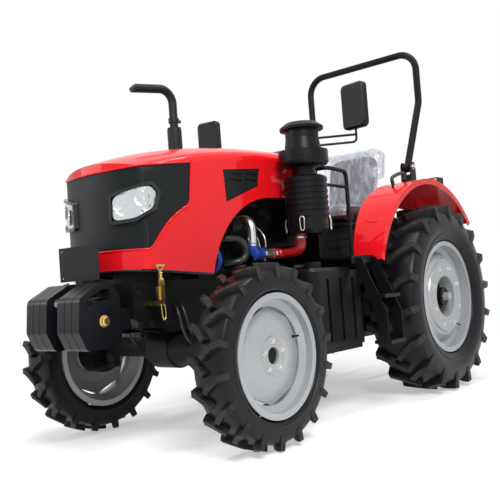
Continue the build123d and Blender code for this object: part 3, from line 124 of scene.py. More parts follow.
def seen_direct(tree):
    """1 where the camera sees a thing straight, in a mirror or through glass, 0 for the light it gives."""
    path = node(tree, "LightPath").outputs
    mirrored = math_node(tree, "MAXIMUM", path["Is Glossy Ray"], path["Is Transmission Ray"])
    return math_node(tree, "MAXIMUM", path["Is Camera Ray"], mirrored)


WHITE = (1, 1, 1, 1)
WORLD_LIGHT = 0.30
world = bpy.data.worlds.new("studio")
scene.world = world
world.use_nodes = True
world_tree = world.node_tree
background = world_tree.nodes["Background"]
background.inputs["Color"].default_value = WHITE
world_strength = mapped(world_tree, seen_direct(world_tree), (WORLD_LIGHT, 1.0))
link(world_strength, background.inputs["Strength"])

FLOOR_HALF = 30
FLOOR_FADE = (2.8, 6.5)
FLOOR_SHADE = (0.9, 0.0)
FLOOR_GLOW = (0.42, 1.0)
floor_mesh = bpy.data.meshes.new("studio_floor")
floor_corners = [(x * FLOOR_HALF, y * FLOOR_HALF, 0) for x, y in ((-1, -1), (1, -1), (1, 1), (-1, 1))]
floor_mesh.from_pydata(floor_corners, [], [(0, 1, 2, 3)])
studio_floor = bpy.data.objects.new("studio_floor", floor_mesh)
scene.collection.objects.link(studio_floor)
floor_material, floor_tree, floor_shader = new_material("studio_floor")
floor_shader.inputs["Roughness"].default_value = 0.9
floor_shader.inputs["Specular IOR Level"].default_value = 0.0
floor_shader.inputs["Emission Color"].default_value = WHITE
floor_place = node(floor_tree, "TexCoord").outputs["Object"]
distance = math_node(floor_tree, "LENGTH", floor_place, kind="VectorMath")
fade = mapped(floor_tree, distance, (0.0, 1.0), FLOOR_FADE)
fade.node.interpolation_type = "SMOOTHSTEP"
link(mapped(floor_tree, fade, FLOOR_SHADE), floor_shader.inputs["Base Color"])
glow = math_node(floor_tree, "MULTIPLY", mapped(floor_tree, fade, FLOOR_GLOW), seen_direct(floor_tree))
link(glow, floor_shader.inputs["Emission Strength"])
floor_mesh.materials.append(floor_material)

LIGHTS_AIM = Vector((0.2, 0, 1.0))
LIGHTS = {"key_light": ((4.5, 5.5, 6.0), (3.0, 3.0), 520),
          "fill_light": ((6.0, -5.0, 3.5), (4.0, 3.0), 120),
          "top_strip": ((0.4, 0.9, 6.5), (6.0, 0.4), 190)}
for name, (place, size, watts) in LIGHTS.items():
    light_data = bpy.data.lights.new(name, "AREA")
    light_data.shape = "RECTANGLE"
    light_data.size, light_data.size_y = size
    light_data.energy = watts
    lamp = bpy.data.objects.new(name, light_data)
    lamp.location = place
    lamp.rotation_euler = (LIGHTS_AIM - lamp.location).to_track_quat("-Z", "Y").to_euler()
    scene.collection.objects.link(lamp)

# Chassis: the front frame, engine, gearbox, axles and hitch, of cast iron and steel plate, bolted end to end
# with hexagon bolts and sprayed with them in satin black. The rods of the hitch and steering stay bright.
PATCH_SCALE = 3.5
PATCH_SPAN = (0.3, 0.7)
GLOSS_SPREAD = 0.18
COAT_ROUGHNESS = 0.06
RELIEF = 0.6


def colour_mix(tree, share, one, two):
    """Mixes two colours, each a constant or the output of another node."""
    made = node(tree, "Mix")
    made.data_type = "RGBA"
    link(share, made.inputs[0])
    for socket, value in zip(made.inputs[6:8], (one, two)):
        if isinstance(value, bpy.types.NodeSocket):
            link(value, socket)
        else:
            socket.default_value = value
    return made.outputs[2]


def surface(name, colour, *, rough, grain, bump, spread=0.12, metal=0.0, coat=0.0, shine=0.5):
    """A finish whose shade, gloss and relief vary a little: grain is in grains per metre, bump in metres."""
    material, tree, shader = new_material(name)
    shader.inputs["Metallic"].default_value = metal
    shader.inputs["Coat Weight"].default_value = coat
    shader.inputs["Coat Roughness"].default_value = COAT_ROUGHNESS
    shader.inputs["Specular IOR Level"].default_value = shine
    place = node(tree, "TexCoord").outputs["Object"]
    patches = node(tree, "TexNoise", Scale=PATCH_SCALE, Detail=5.0, Roughness=0.6)
    grains = node(tree, "TexNoise", Scale=grain, Detail=3.0)
    for texture in (patches, grains):
        link(place, texture.inputs["Vector"])
    dark = (*[c * (1 - spread) for c in colour], 1)
    light = (*[min(1, c * (1 + spread)) for c in colour], 1)
    shade = colour_mix(tree, patches.outputs["Fac"], dark, light)
    shade.node.name = "shade"
    link(shade, shader.inputs["Base Color"])
    glossy, dull = rough * (1 - GLOSS_SPREAD), min(1, rough * (1 + GLOSS_SPREAD))
    gloss = mapped(tree, patches.outputs["Fac"], (glossy, dull), PATCH_SPAN)
    link(gloss, shader.inputs["Roughness"])
    if bump:
        relief = node(tree, "Bump", Strength=RELIEF, Distance=bump)
        link(grains.outputs["Fac"], relief.inputs["Height"])
        link(relief.outputs[0], shader.inputs["Normal"])
    return material


def dress(material, *names):
    """Gives CAD nodes their finish."""
    for name in names:
        slots = nodes[name].data.materials
        slots.clear()
        slots.append(material)


def put(name, data, material, body):
    """Adds a mesh or a curve to the tractor as a piece of its own."""
    data.materials.append(material)
    made = bpy.data.objects.new(name, data)
    scene.collection.objects.link(made)
    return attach(made, body)


def piece(name, bm, material, body, sharp=35):
    """Makes a piece from a mesh in the making, with edges sharper than an angle kept crisp."""
    bmesh.ops.remove_doubles(bm, verts=bm.verts, dist=1e-6)
    bmesh.ops.recalc_face_normals(bm, faces=bm.faces)
    mesh = bpy.data.meshes.new(name)
    bm.to_mesh(mesh)
    bm.free()
    mesh.shade_smooth()
    mesh.set_sharp_from_angle(angle=radians(sharp))
    return put(name, mesh, material, body)


def turned(bm, profile, place, axis, segments=32):
    """Adds a turned form: profile is a list of (distance along the axis, radius)."""
    axis = Vector(axis).normalized()
    side = axis.orthogonal().normalized()
    other = axis.cross(side)
    rings = []
    for step in range(segments):
        angle = 2 * pi * step / segments
        out = side * cos(angle) + other * sin(angle)
        rings.append([bm.verts.new(Vector(place) + axis * along + out * radius) for along, radius in profile])
    for step in range(segments):
        one, two = rings[step], rings[(step + 1) % segments]
        for row in range(len(profile) - 1):
            corners = [one[row], one[row + 1], two[row + 1], two[row]]
            if profile[row][1] == 0:
                corners = [one[row], one[row + 1], two[row + 1]]
            elif profile[row + 1][1] == 0:
                corners = [one[row], one[row + 1], two[row]]
            bm.faces.new(corners)


WASHER = [(0, 0), (0, 1.3), (0.16, 1.3), (0.2, 1.2), (0.2, 0)]
BOLT_HEAD = [(0.2, 0), (0.2, 1), (0.75, 1), (0.9, 0.82), (0.9, 0)]


def bolt(bm, place, axis, size):
    """Adds a washer and a chamfered hexagon head of that half width across its corners."""
    for profile, sides in ((WASHER, 20), (BOLT_HEAD, 6)):
        turned(bm, [(along * size, radius * size) for along, radius in profile], place, axis, sides)


def side_bolts(name, points, size, material):
    """Bolts into both sides of the chassis, given for the left."""
    bm = bmesh.new()
    for hand in (1, -1):
        for x, y, z in points:
            bolt(bm, from_axle(x, y * hand, z), (0, hand, 0), size)
    piece(name, bm, material, "chassis")


chassis_black = surface("chassis_black", (0.007, 0.007, 0.008), rough=0.36, grain=260, bump=0.0004,
                        shine=0.14)
cast_black = surface("cast_black", (0.009, 0.009, 0.010), rough=0.45, grain=160, bump=0.0012, spread=0.25,
                     shine=0.14)
bright_steel = surface("bright_steel", (0.55, 0.55, 0.53), rough=0.3, grain=420, bump=0.0001, spread=0.1,
                       metal=1.0)
dress(chassis_black, "front_frame", "radiator", "drawbar", "lower_links")
dress(cast_black, "engine", "gearbox", "front_axle", "knuckle_left", "knuckle_right", "lift_arms")
dress(bright_steel, "steering_rod", "lift_rods", "top_link")

FRAME_BOLTS = [(2.29, 0.255, 0.70), (2.29, 0.255, 0.87), (2.40, 0.255, 0.70), (2.48, 0.255, 0.70),
               (2.48, 0.255, 0.87)]
FRAME_BOLT = 0.014
side_bolts("frame_bolts", FRAME_BOLTS, FRAME_BOLT, cast_black)

# Tyres: black rubber, moulded in one with a ring on each side and bars that curve into a V over the tread.
# Each bar widens outward and steps down over the shoulder, and dust dulls its worn top.
SIDES = (("left", 1), ("right", -1))
WHEELS = {"front": {"at": (2.030, 0.711), "radius": 0.495, "width": 0.210, "seat": 0.305, "rim_half": 0.098,
                    "lug": 0.034},
          "rear": {"at": (0.0, 0.692), "radius": 0.682, "width": 0.376, "seat": 0.381, "rim_half": 0.145,
                   "lug": 0.042}}
TYRE_SEGMENTS = 108
RING_STATION = 9
RING_SECTION = [(-0.001, -0.006), (0.0026, -0.003), (0.0026, 0.002), (0, 0.005)]
BARS_A_FLANK = 18
BAR_STATIONS = 9
BAR_SHARE = 0.15
BAR_WIDENING = 0.3
BAR_START = 0.04
BAR_LAG = 0.8
BAR_SWEEP = 0.92
BAR_BEND = 1.5
BAR_LEAST_SLOPE = 0.28
BAR_LEAN = tan(radians(4))
BAR_TIP_GAP = 0.0008
BAR_ROOT = 0.012
BAR_FOOT_FLARE = 0.008
BAR_SIDE_FLARE = 0.002
BAR_SIDE_DROP = 0.3
BAR_ROUNDING = 0.0035
DUST = (0.085, 0.078, 0.068, 1)
DUST_SHARE = (0.05, 0.5)
DUST_SPAN = (0.40, 0.72)
RUBBER = (0.0065, 0.007, 0.0085)
tyre_rubber = surface("tyre_rubber", RUBBER, rough=0.36, grain=60, bump=0.0012, spread=0.25, shine=0.18)
tread_rubber = surface("tread_rubber", RUBBER, rough=0.5, grain=340, bump=0.0006, spread=0.3, shine=0.16)
tread_tree = tread_rubber.node_tree
worn = node(tread_tree, "Attribute")
worn.attribute_name = "worn"
dust_noise = node(tread_tree, "TexNoise", Scale=26.0, Detail=6.0, Roughness=0.7)
link(node(tread_tree, "TexCoord").outputs["Object"], dust_noise.inputs["Vector"])
dust_patch = mapped(tread_tree, dust_noise.outputs["Fac"], DUST_SHARE, DUST_SPAN)
dust_share = math_node(tread_tree, "MULTIPLY", worn.outputs["Fac"], dust_patch)
dusty = colour_mix(tread_tree, dust_share, tread_tree.nodes["shade"].outputs[2], DUST)
link(dusty, tread_tree.nodes["Principled BSDF"].inputs["Base Color"])


def wheel_centre(end, hand):
    x, y = WHEELS[end]["at"]
    return from_axle(x, y * hand, WHEELS[end]["radius"])


def rounded_line(stations, steps=6):
    """A smooth line through the stations."""
    line = []
    for i in range(len(stations) - 1):
        before = Vector(stations[max(i - 1, 0)])
        start, end = Vector(stations[i]), Vector(stations[i + 1])
        after = Vector(stations[min(i + 2, len(stations) - 1)])
        for step in range(steps):
            t = step / steps
            line.append(0.5 * (2 * start + (end - before) * t
                               + (2 * before - 5 * start + 4 * end - after) * t * t
                               + (3 * start - before - 3 * end + after) * t ** 3))
    line.append(Vector(stations[-1]))
    return [tuple(point) for point in line]


def half_section(wheel):
    """Half the carcass, from its bead out to its crown, as (distance from the middle plane, radius)."""
    half, seat, rim_half = wheel["width"] / 2, wheel["seat"], wheel["rim_half"]
    crown = wheel["radius"] - wheel["lug"]
    bead = (rim_half - 0.012, seat + 0.030)
    low_side = (rim_half + 0.3 * (half - rim_half) + 0.002, seat + 0.046)
    widest = (half - 0.001, (seat + crown) / 2)
    high_side = (0.955 * half, crown - 0.3 * half)
    shoulder = (0.84 * half, crown - 0.12 * half)
    tread_edge = (0.45 * half, crown - 0.02 * half)
    line = rounded_line([bead, low_side, widest, high_side, shoulder, tread_edge, (0, crown)])
    a, r = line[RING_STATION]
    line[RING_STATION:RING_STATION + 1] = [(a + wider, r + higher) for wider, higher in RING_SECTION]
    return line


def carcass_radius(section, axial):
    """How far out the carcass reaches at a distance from its middle plane, over the tread."""
    line = section[::-1]
    for (a0, r0), (a1, r1) in zip(line, line[1:]):
        if a0 <= axial <= a1:
            share = 0 if a0 == a1 else (axial - a0) / (a1 - a0)
            return r0 + (r1 - r0) * share
    return max(r for a, r in section)


def bar_stations(wheel, section):
    """Along one bar: its place across and round the tread, its heading, and its own cross-section there."""
    radius, half, lug = wheel["radius"], wheel["width"] / 2, wheel["lug"]
    crown = radius - lug
    lag = BAR_LAG * half
    thick = BAR_SHARE * 2 * pi * radius / BARS_A_FLANK
    stations = []
    for step in range(BAR_STATIONS + 2):
        t = min(1, step / (BAR_STATIONS - 1))
        axial = half * (t - BAR_START)
        along = lag * (BAR_SWEEP * (1 - (1 - t) ** BAR_BEND) - 0.5)
        slope = max(BAR_LEAST_SLOPE, BAR_BEND * (1 - t) ** (BAR_BEND - 1)) * BAR_SWEEP * lag / half
        heading = Vector((-slope, 1)).normalized()
        wide = thick * (1 + BAR_WIDENING * t) / 2
        high = radius - BAR_TIP_GAP - BAR_LEAN * half * t
        foot = carcass_radius(section, min(axial, 0.94 * half)) - BAR_ROOT
        if step == BAR_STATIONS:
            axial, high, foot = 0.985 * half, high - 0.42 * lug, foot - 0.02
        if step == BAR_STATIONS + 1:
            axial, high, foot = 0.997 * half, crown - 0.36 * half, crown - 0.5 * half
        if step >= BAR_STATIONS:
            heading.x = 0
        flank = [(wide + BAR_FOOT_FLARE, foot, 0),
                 (wide + BAR_SIDE_FLARE, max(high - BAR_SIDE_DROP * lug, foot), 0.5),
                 (wide, max(high, foot), 1)]
        other_flank = [(-offset, out, dust) for offset, out, dust in flank]
        stations.append((axial, along, heading, other_flank + flank[::-1]))
    return stations


def skin(bm, rows):
    """Fills a grid of corners with faces."""
    for one, two in zip(rows, rows[1:]):
        for i in range(len(one) - 1):
            bm.faces.new((one[i], one[i + 1], two[i + 1], two[i]))


def build_tyre(end, side, hand):
    """The carcass and its bars. Distances along the axle are counted outward from the wheel's middle."""
    wheel = WHEELS[end]
    radius = wheel["radius"]
    centre = wheel_centre(end, hand)
    body = f"wheel_{end}_{side}"
    half_line = half_section(wheel)
    loop = half_line + [(-a, r) for a, r in reversed(half_line[:-1])] + half_line[:1]
    carcass = bmesh.new()
    turned(carcass, [(hand * a, r) for a, r in loop], centre, (0, 1, 0), TYRE_SEGMENTS)
    carcass_piece = piece(f"tyre_{end}_{side}_carcass", carcass, tyre_rubber, body, 50)
    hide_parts(f"tyre_{end}_{side}")

    tread = bmesh.new()
    worn_layer = tread.verts.layers.float.new("worn")
    pitch = 2 * pi * radius / BARS_A_FLANK
    stations = bar_stations(wheel, half_line)
    for flank, offbeat in ((1, 0), (-1, 0.5)):
        for number in range(BARS_A_FLANK):
            rows = []
            for axial, along, heading, section in stations:
                row = []
                for offset, out, dust in section:
                    angle = (along + heading.y * offset + (number + offbeat) * pitch) / radius
                    corner = tread.verts.new((centre.x - out * sin(angle),
                                              centre.y + hand * flank * (axial + heading.x * offset),
                                              centre.z + out * cos(angle)))
                    corner[worn_layer] = dust
                    row.append(corner)
                rows.append(row)
            skin(tread, rows)
            tread.faces.new(rows[0])
            tread.faces.new(rows[-1])
    bars_piece = piece(f"tyre_{end}_{side}_bars", tread, tread_rubber, body, 40)
    rounding = bars_piece.modifiers.new("rounded_edges", "BEVEL")
    rounding.width = BAR_ROUNDING
    rounding.segments = 2
    rounding.limit_method = "ANGLE"
    rounding.angle_limit = radians(38)


for side, hand in SIDES:
    for end in WHEELS:
        build_tyre(end, side, hand)

# Rims: rolled steel in silver paint, welded to a dished disc that zinc-plated bolts hold to the hub.
# The rear hub shows black through the middle of its disc, and a rubber valve stands out of each rim.
HUB_RING = (0.031, 0.135)
HUB_BLACK = (0.006, 0.006, 0.007, 1)
REAR_METAL = (0.3, 0.0)
VALVE_PROFILE = [(0, 0), (0, 0.0095), (0.005, 0.0085), (0.012, 0.0055), (0.026, 0.0048), (0.026, 0.0058),
                 (0.036, 0.0058), (0.038, 0.0045), (0.038, 0)]
VALVE_AT = {"front": (-0.200, 0.080), "rear": (-0.215, -0.215)}
WHEEL_BOLTS = {"front": {"count": 5, "first": 18, "circle": 0.078, "face": 0.768, "size": 0.0125},
               "rear": {"count": 8, "first": 22.5, "circle": 0.215, "face": 0.815, "size": 0.016}}
rim_silver = surface("rim_silver", (0.40, 0.415, 0.43), rough=0.34, grain=500, bump=0.0001, spread=0.05,
                     metal=0.25, shine=0.4)
white_zinc = surface("white_zinc", (0.62, 0.60, 0.52), rough=0.3, grain=180, bump=0.0002, spread=0.15,
                     metal=1.0)


def rear_silver(side, centre):
    """Silver paint that turns to black over the hub, by the distance from the axle."""
    material = surface(f"rear_silver_{side}", (0.44, 0.455, 0.47), rough=0.34, grain=500, bump=0.0001,
                       spread=0.05, metal=0.25, shine=0.1)
    tree = material.node_tree
    shader = tree.nodes["Principled BSDF"]
    place = node(tree, "TexCoord").outputs["Object"]
    off_axle = math_node(tree, "SUBTRACT", place, centre, kind="VectorMath")
    flat = math_node(tree, "MULTIPLY", off_axle, (1, 0, 1), kind="VectorMath")
    reach = math_node(tree, "LENGTH", flat, kind="VectorMath")
    outside = math_node(tree, "GREATER_THAN", reach, HUB_RING[0])
    inside = math_node(tree, "LESS_THAN", reach, HUB_RING[1])
    hub = math_node(tree, "MULTIPLY", inside, outside)
    shade = colour_mix(tree, hub, tree.nodes["shade"].outputs[2], HUB_BLACK)
    link(shade, shader.inputs["Base Color"])
    link(mapped(tree, hub, REAR_METAL), shader.inputs["Metallic"])
    return material


def mesh_tree(name):
    """The faces of a CAD node, to set pieces on."""
    mesh = nodes[name].data
    return BVHTree.FromPolygons([v.co for v in mesh.vertices], [p.vertices for p in mesh.polygons])


for side, hand in SIDES:
    dress(rim_silver, f"rim_front_{side}")
    dress(rear_silver(side, wheel_centre("rear", hand)), f"rim_rear_{side}")
    for end, (ahead, above) in VALVE_AT.items():
        start = wheel_centre(end, hand) + Vector((ahead, hand * 0.5, above))
        place, way = mesh_tree(f"rim_{end}_{side}").ray_cast(start, Vector((0, -hand, 0)))[:2]
        valve = bmesh.new()
        turned(valve, VALVE_PROFILE, place, way, 20)
        piece(f"valve_{end}_{side}", valve, tread_rubber, f"wheel_{end}_{side}")
    for end, bolts in WHEEL_BOLTS.items():
        wheel_bolts = bmesh.new()
        middle = wheel_centre(end, hand)
        middle.y = bolts["face"] * hand
        for number in range(bolts["count"]):
            angle = radians(360 / bolts["count"] * number + bolts["first"])
            out = Vector((cos(angle), 0, sin(angle)))
            bolt(wheel_bolts, middle + out * bolts["circle"], (0, hand, 0), bolts["size"])
        piece(f"wheel_bolts_{end}_{side}", wheel_bolts, white_zinc, f"wheel_{end}_{side}")

# Engine dressing: rubber hoses and steel fuel lines on the block, with worm-drive clamps on the hose ends.
# The intake pipe is cast aluminium, joined by silicone hoses, blue and red, pushed on and clamped.
COOLANT_HOSE = [(1.79, 0.142, 1.165), (1.76, 0.20, 1.165), (1.70, 0.235, 1.165), (1.62, 0.245, 1.155),
                (1.565, 0.245, 1.10), (1.575, 0.235, 1.035), (1.635, 0.215, 1.015), (1.66, 0.145, 1.012)]
COOLANT_HOSE_R = 0.024
LOWER_HOSE = [(1.78, 0.142, 1.10), (1.78, 0.19, 1.10), (1.775, 0.20, 1.06), (1.765, 0.20, 1.01),
              (1.76, 0.142, 0.97)]
LOWER_HOSE_R = 0.018
FUEL_LINES = [[(1.44, 0.205, 1.03), (1.47, 0.235, 1.10), (1.60, 0.225, 1.175), (1.73, 0.165, 1.235)],
              [(1.38, 0.206, 1.04), (1.40, 0.225, 1.13), (1.43, 0.205, 1.21), (1.44, 0.122, 1.25)],
              [(1.34, 0.206, 1.02), (1.33, 0.225, 1.13), (1.33, 0.19, 1.22), (1.34, 0.122, 1.26)],
              [(1.48, 0.19, 0.99), (1.56, 0.235, 0.975), (1.61, 0.235, 0.99), (1.64, 0.225, 0.978)]]
FUEL_LINE_R = 0.006
STEER_HOSES = [[(2.10, 0.168, 0.80), (2.11, 0.20, 0.78), (2.10, 0.225, 0.68), (2.06, 0.225, 0.60),
                (2.03, 0.20, 0.545)],
               [(2.15, 0.168, 0.80), (2.16, 0.205, 0.78), (2.16, 0.235, 0.67), (2.12, 0.235, 0.585),
                (2.06, 0.235, 0.545)]]
STEER_HOSE_R = 0.0085
CLAMPS = [((1.53, 0.27, 1.118), (0, 0, 1)), ((1.442, 0.27, 1.062), (1, 0, 0)),
          ((1.334, 0.27, 1.062), (1, 0, 0)), ((1.262, 0.447, 1.150), (0, 0, 1))]
CLAMP_R = 0.034
CLAMP_BAND = [(-0.006, CLAMP_R - 0.001), (-0.006, CLAMP_R + 0.0022), (0.006, CLAMP_R + 0.0022),
              (0.006, CLAMP_R - 0.001)]
CLAMP_SCREW = [(-0.012, 0), (-0.012, 0.0055), (0.009, 0.0055), (0.009, 0.004), (0.014, 0.004), (0.014, 0)]
CLAMP_SCREW_RISE = 0.004


def pipe(name, points, radius, material, body, closed=False):
    """A bent pipe, moulded hose or bead along a smooth line."""
    line = bpy.data.curves.new(name, "CURVE")
    line.dimensions = "3D"
    line.bevel_depth = radius
    line.bevel_resolution = 5
    line.use_fill_caps = True
    spline = line.splines.new("NURBS")
    spline.points.add(len(points) - 1)
    for point, place in zip(spline.points, points):
        point.co = (*place, 1)
    spline.use_cyclic_u = closed
    spline.order_u = 3
    spline.use_endpoint_u = not closed
    spline.resolution_u = 8
    put(name, line, material, body)


def route(points, hand=1):
    """A hose's points, given for the left side, in the tractor's own frame."""
    return [from_axle(x, y * hand, z) for x, y, z in points]


raw_aluminium = surface("raw_aluminium", (0.60, 0.61, 0.62), rough=0.35, grain=300, bump=0.0008, metal=1.0)
blue_silicone = surface("blue_silicone", (0.012, 0.05, 0.40), rough=0.3, grain=240, bump=0.0003, spread=0.15,
                        coat=0.2)
red_silicone = surface("red_silicone", (0.55, 0.012, 0.01), rough=0.3, grain=240, bump=0.0003, spread=0.15,
                       coat=0.2)
hose_rubber = surface("hose_rubber", (0.014, 0.014, 0.016), rough=0.36, grain=200, bump=0.0005, spread=0.15)
dress(raw_aluminium, "charge_pipe")
dress(blue_silicone, "blue_hose")
dress(red_silicone, "red_elbow")
pipe("coolant_hose", route(COOLANT_HOSE), COOLANT_HOSE_R, hose_rubber, "chassis")
pipe("lower_hose", route(LOWER_HOSE), LOWER_HOSE_R, blue_silicone, "chassis")
for number, line in enumerate(FUEL_LINES):
    pipe(f"fuel_line_{number + 1}", route(line), FUEL_LINE_R, bright_steel, "chassis")
for number, line in enumerate(STEER_HOSES):
    for side, hand in SIDES:
        pipe(f"steer_hose_{number + 1}_{side}", route(line, hand), STEER_HOSE_R, hose_rubber, "chassis")
hose_clamps = bmesh.new()
for place, axis in CLAMPS:
    middle = from_axle(*place)
    turned(hose_clamps, CLAMP_BAND, middle, axis, 32)
    screw_way = Vector(axis).cross(Vector((0, 1, 0)))
    turned(hose_clamps, CLAMP_SCREW, middle + Vector((0, CLAMP_R + CLAMP_SCREW_RISE, 0)), screw_way, 8)
piece("hose_clamps", hose_clamps, white_zinc, "chassis")

# Hood latches: draw latches of bent wire, threaded rod and sheet steel in yellow zinc, one a side.
# Each is bolted to the front frame and hooks over a keeper on the hood's sill.
LATCH_AT = (2.415, 0.366)
LATCH_TAIL = [(-0.012, 0, 0.806), (-0.014, 0.004, 0.77), (-0.010, 0.006, 0.735), (0, 0.006, 0.722),
              (0.010, 0.006, 0.735), (0.014, 0.004, 0.77), (0.012, 0, 0.806)]
LATCH_WIRE_R = 0.0032
THREAD_Z = 0.918
THREAD_PITCH = 0.004
THREAD_TURNS = 14
THREAD_ROOT, THREAD_TIP = 0.0062, 0.0078
LATCH_NUT = 0.0125
LATCH_NUT_Z = 0.930
yellow_zinc = surface("yellow_zinc", (0.66, 0.47, 0.16), rough=0.28, grain=120, bump=0.0004, spread=0.25,
                      metal=1.0)
dress(yellow_zinc, "hood_latches")
for side, hand in SIDES:
    x, y = LATCH_AT
    tail = [(x + ahead, y + out, z) for ahead, out, z in LATCH_TAIL]
    pipe(f"latch_tail_{side}", route(tail, hand), LATCH_WIRE_R, yellow_zinc, "chassis")
    ridges = [(0.0, 0.0)]
    for turn in range(THREAD_TURNS):
        ridges += [(THREAD_PITCH * turn, THREAD_ROOT), (THREAD_PITCH * (turn + 0.5), THREAD_TIP)]
    ridges += [(THREAD_PITCH * THREAD_TURNS, THREAD_ROOT), (THREAD_PITCH * THREAD_TURNS, 0.0)]
    threads = bmesh.new()
    turned(threads, ridges, from_axle(x, y * hand, THREAD_Z), (0, 0, 1), 20)
    bolt(threads, from_axle(x, y * hand, LATCH_NUT_Z), (0, 0, 1), LATCH_NUT)
    piece(f"latch_thread_{side}", threads, yellow_zinc, "chassis")

# Hood: one pressed steel shell in gloss red that tips up at the back, with the dark moulded nose and the
# side vents let into it. Its edge is rolled where it meets the nose, and a rubber strip lines the sill.
HOOD_HALF = 0.338
NOSE_X = 2.560
NOSE_SWEEP = 0.095
SILL_LINE = [(1.976, 0.956), (2.610, 1.006)]
SILL_STEPS = 46
SILL_END = 1.485
SILL_INSET = 0.006
SILL_CORNER = (0.9, 1.05)
SILL_CORNER_INSET = 0.018
SILL_DROP = 0.005
SILL_R = 0.0085
TOP_EDGE = [(2.620, 1.524), (2.104, 1.585)]
LOW_EDGE = [(2.620, 1.104), (2.440, 1.098)]
ARCH_EDGE = [(2.440, 1.098), (2.377, 1.168), (2.330, 1.225), (2.270, 1.285), (2.200, 1.325), (2.136, 1.345)]
REAR_EDGE = [(2.128, 1.405), (2.120, 1.465), (2.112, 1.525), (2.104, 1.585)]
LOW_EDGE_SHARES = [0.02 + step / 23 * 0.96 for step in range(24)]
TOP_EDGE_SHARES = [1.36 - step / 29 * 1.34 for step in range(30)]
EDGE_R = 0.0055
SEAM_AT = (2.462, 0.345, 1.112)
SEAM_STEP = 0.0086
SEAM_POINTS = 15
SEAM_R = 0.0016
VENT_TOP = (Vector((1.492, 1.594)), Vector((1.838, 1.562)))
VENT_LOW = (Vector((1.516, 1.482)), Vector((1.826, 1.370)))
VENT_COLUMNS = 12
VENT_LAYERS = (0.317, 0.319)
hood_red = surface("hood_red", (0.84, 0.008, 0.014), rough=0.3, grain=700, bump=0.00004, spread=0.03,
                   coat=0.5, shine=0.05)
nose_plastic = surface("nose_plastic", (0.0085, 0.0105, 0.012), rough=0.42, grain=900, bump=0.00025,
                       spread=0.08, shine=0.16)
dress(hood_red, "hood_shell")
dress(nose_plastic, "hood_panels")


def hood_plan(share):
    """Round the hood in plan, from the middle of the nose at 0 to the side at 1, then back along it."""
    bow = (HOOD_HALF ** 2 + NOSE_SWEEP ** 2) / (2 * NOSE_SWEEP)
    if share <= 1:
        y = HOOD_HALF * share
        return NOSE_X - bow + sqrt(bow ** 2 - y ** 2), y
    return NOSE_X - NOSE_SWEEP - (share - 1), HOOD_HALF


def edge_height(x, stations):
    """The height of an edge above a place along the hood."""
    for (x0, z0), (x1, z1) in zip(stations, stations[1:]):
        if min(x0, x1) <= x <= max(x0, x1):
            return z0 + (z1 - z0) * (x - x0) / (x1 - x0)
    return stations[-1][1]


def edge_along(shares, stations):
    """The points of an edge round the nose."""
    plan = [hood_plan(share) for share in shares]
    return [(x, y, edge_height(x, stations)) for x, y in plan]


sill_points = []
for step in range(-SILL_STEPS, SILL_STEPS + 1):
    share = abs(step) / SILL_STEPS * SILL_END
    x, y = hood_plan(share)
    inset = SILL_CORNER_INSET if SILL_CORNER[0] <= share <= SILL_CORNER[1] else SILL_INSET
    sill_points.append(from_axle(x - (inset if share <= 1 else 0), copysign(max(y - inset, 0), step),
                                 edge_height(x, SILL_LINE) - SILL_DROP))
pipe("sill_rubber", sill_points, SILL_R, hose_rubber, "hood")

shell_faces = mesh_tree("hood_shell")
rolled_edge = edge_along(LOW_EDGE_SHARES, LOW_EDGE)
rolled_edge += [(x, HOOD_HALF, z) for x, z in ARCH_EDGE + REAR_EDGE]
rolled_edge += edge_along(TOP_EDGE_SHARES, TOP_EDGE)
for side, hand in SIDES:
    on_shell = [shell_faces.find_nearest(point)[0] for point in route(rolled_edge, hand)]
    pipe(f"hood_rolled_edge_{side}", on_shell, EDGE_R, hood_red, "hood")

panel_faces = mesh_tree("hood_panels")
seam_line = [(SEAM_AT[0], SEAM_AT[1], SEAM_AT[2] + step * SEAM_STEP) for step in range(SEAM_POINTS)]
for side, hand in SIDES:
    on_panel = [panel_faces.find_nearest(point)[0] for point in route(seam_line, hand)]
    pipe(f"nose_seam_{side}", on_panel, SEAM_R, hose_rubber, "hood")

# Two black sheets close each vent from behind: painted shade for the dark inside of the hood.
vent_screens = bmesh.new()
for hand in (1, -1):
    for layer in VENT_LAYERS:
        columns = []
        for step in range(VENT_COLUMNS + 1):
            ends = [edge[0].lerp(edge[1], step / VENT_COLUMNS) for edge in (VENT_TOP, VENT_LOW)]
            columns.append([vent_screens.verts.new(from_axle(x, layer * hand, z)) for x, z in ends])
        skin(vent_screens, columns)
piece("vent_screens", vent_screens, hose_rubber, "hood")

# Headlamps: a glossy black bezel round a faceted chrome reflector with two bowls, under a clear cover.
# Each lamp follows the corner of the nose and is clipped into it from behind.
LAMP_AT = (2.470, 0.300)
LAMP_ALONG = Vector((-0.66, 0.75, 0)).normalized()
LAMP_OUT = Vector((0.75, 0.66, 0)).normalized()
LAMP_OUTLINE = [(-0.174, 1.238), (-0.170, 1.400), (0.072, 1.456), (0.112, 1.404), (0.088, 1.304),
                (-0.020, 1.245)]
LAMP_MIDDLE = Vector((-0.030, 1.345))
LAMP_INSET = Vector((0.855, 0.80))
LAMP_RINGS = (1.0, 0.9, 0.75, 0.6, 0.45, 0.3, 0.15)
LAMP_BOWLS = [(-0.095, 1.322, 0.044), (0.012, 1.362, 0.040)]
BOWL_PROFILE = [(0.001, 1), (0.0048, 1), (0.0048, 0.93), (0.0028, 0.72), (0.0018, 0.4), (0.0022, 0.26),
                (0.0048, 0.2), (0.0052, 0)]
REFLECTOR_RISE = 0.001
COVER_RISE = 0.0062
COVER_ALPHA = 0.16
CORNER_CUT = 0.18
bezel_black = surface("bezel_black", (0.008, 0.008, 0.009), rough=0.16, grain=400, bump=0.0001, spread=0.1,
                      coat=0.1, shine=0.4)
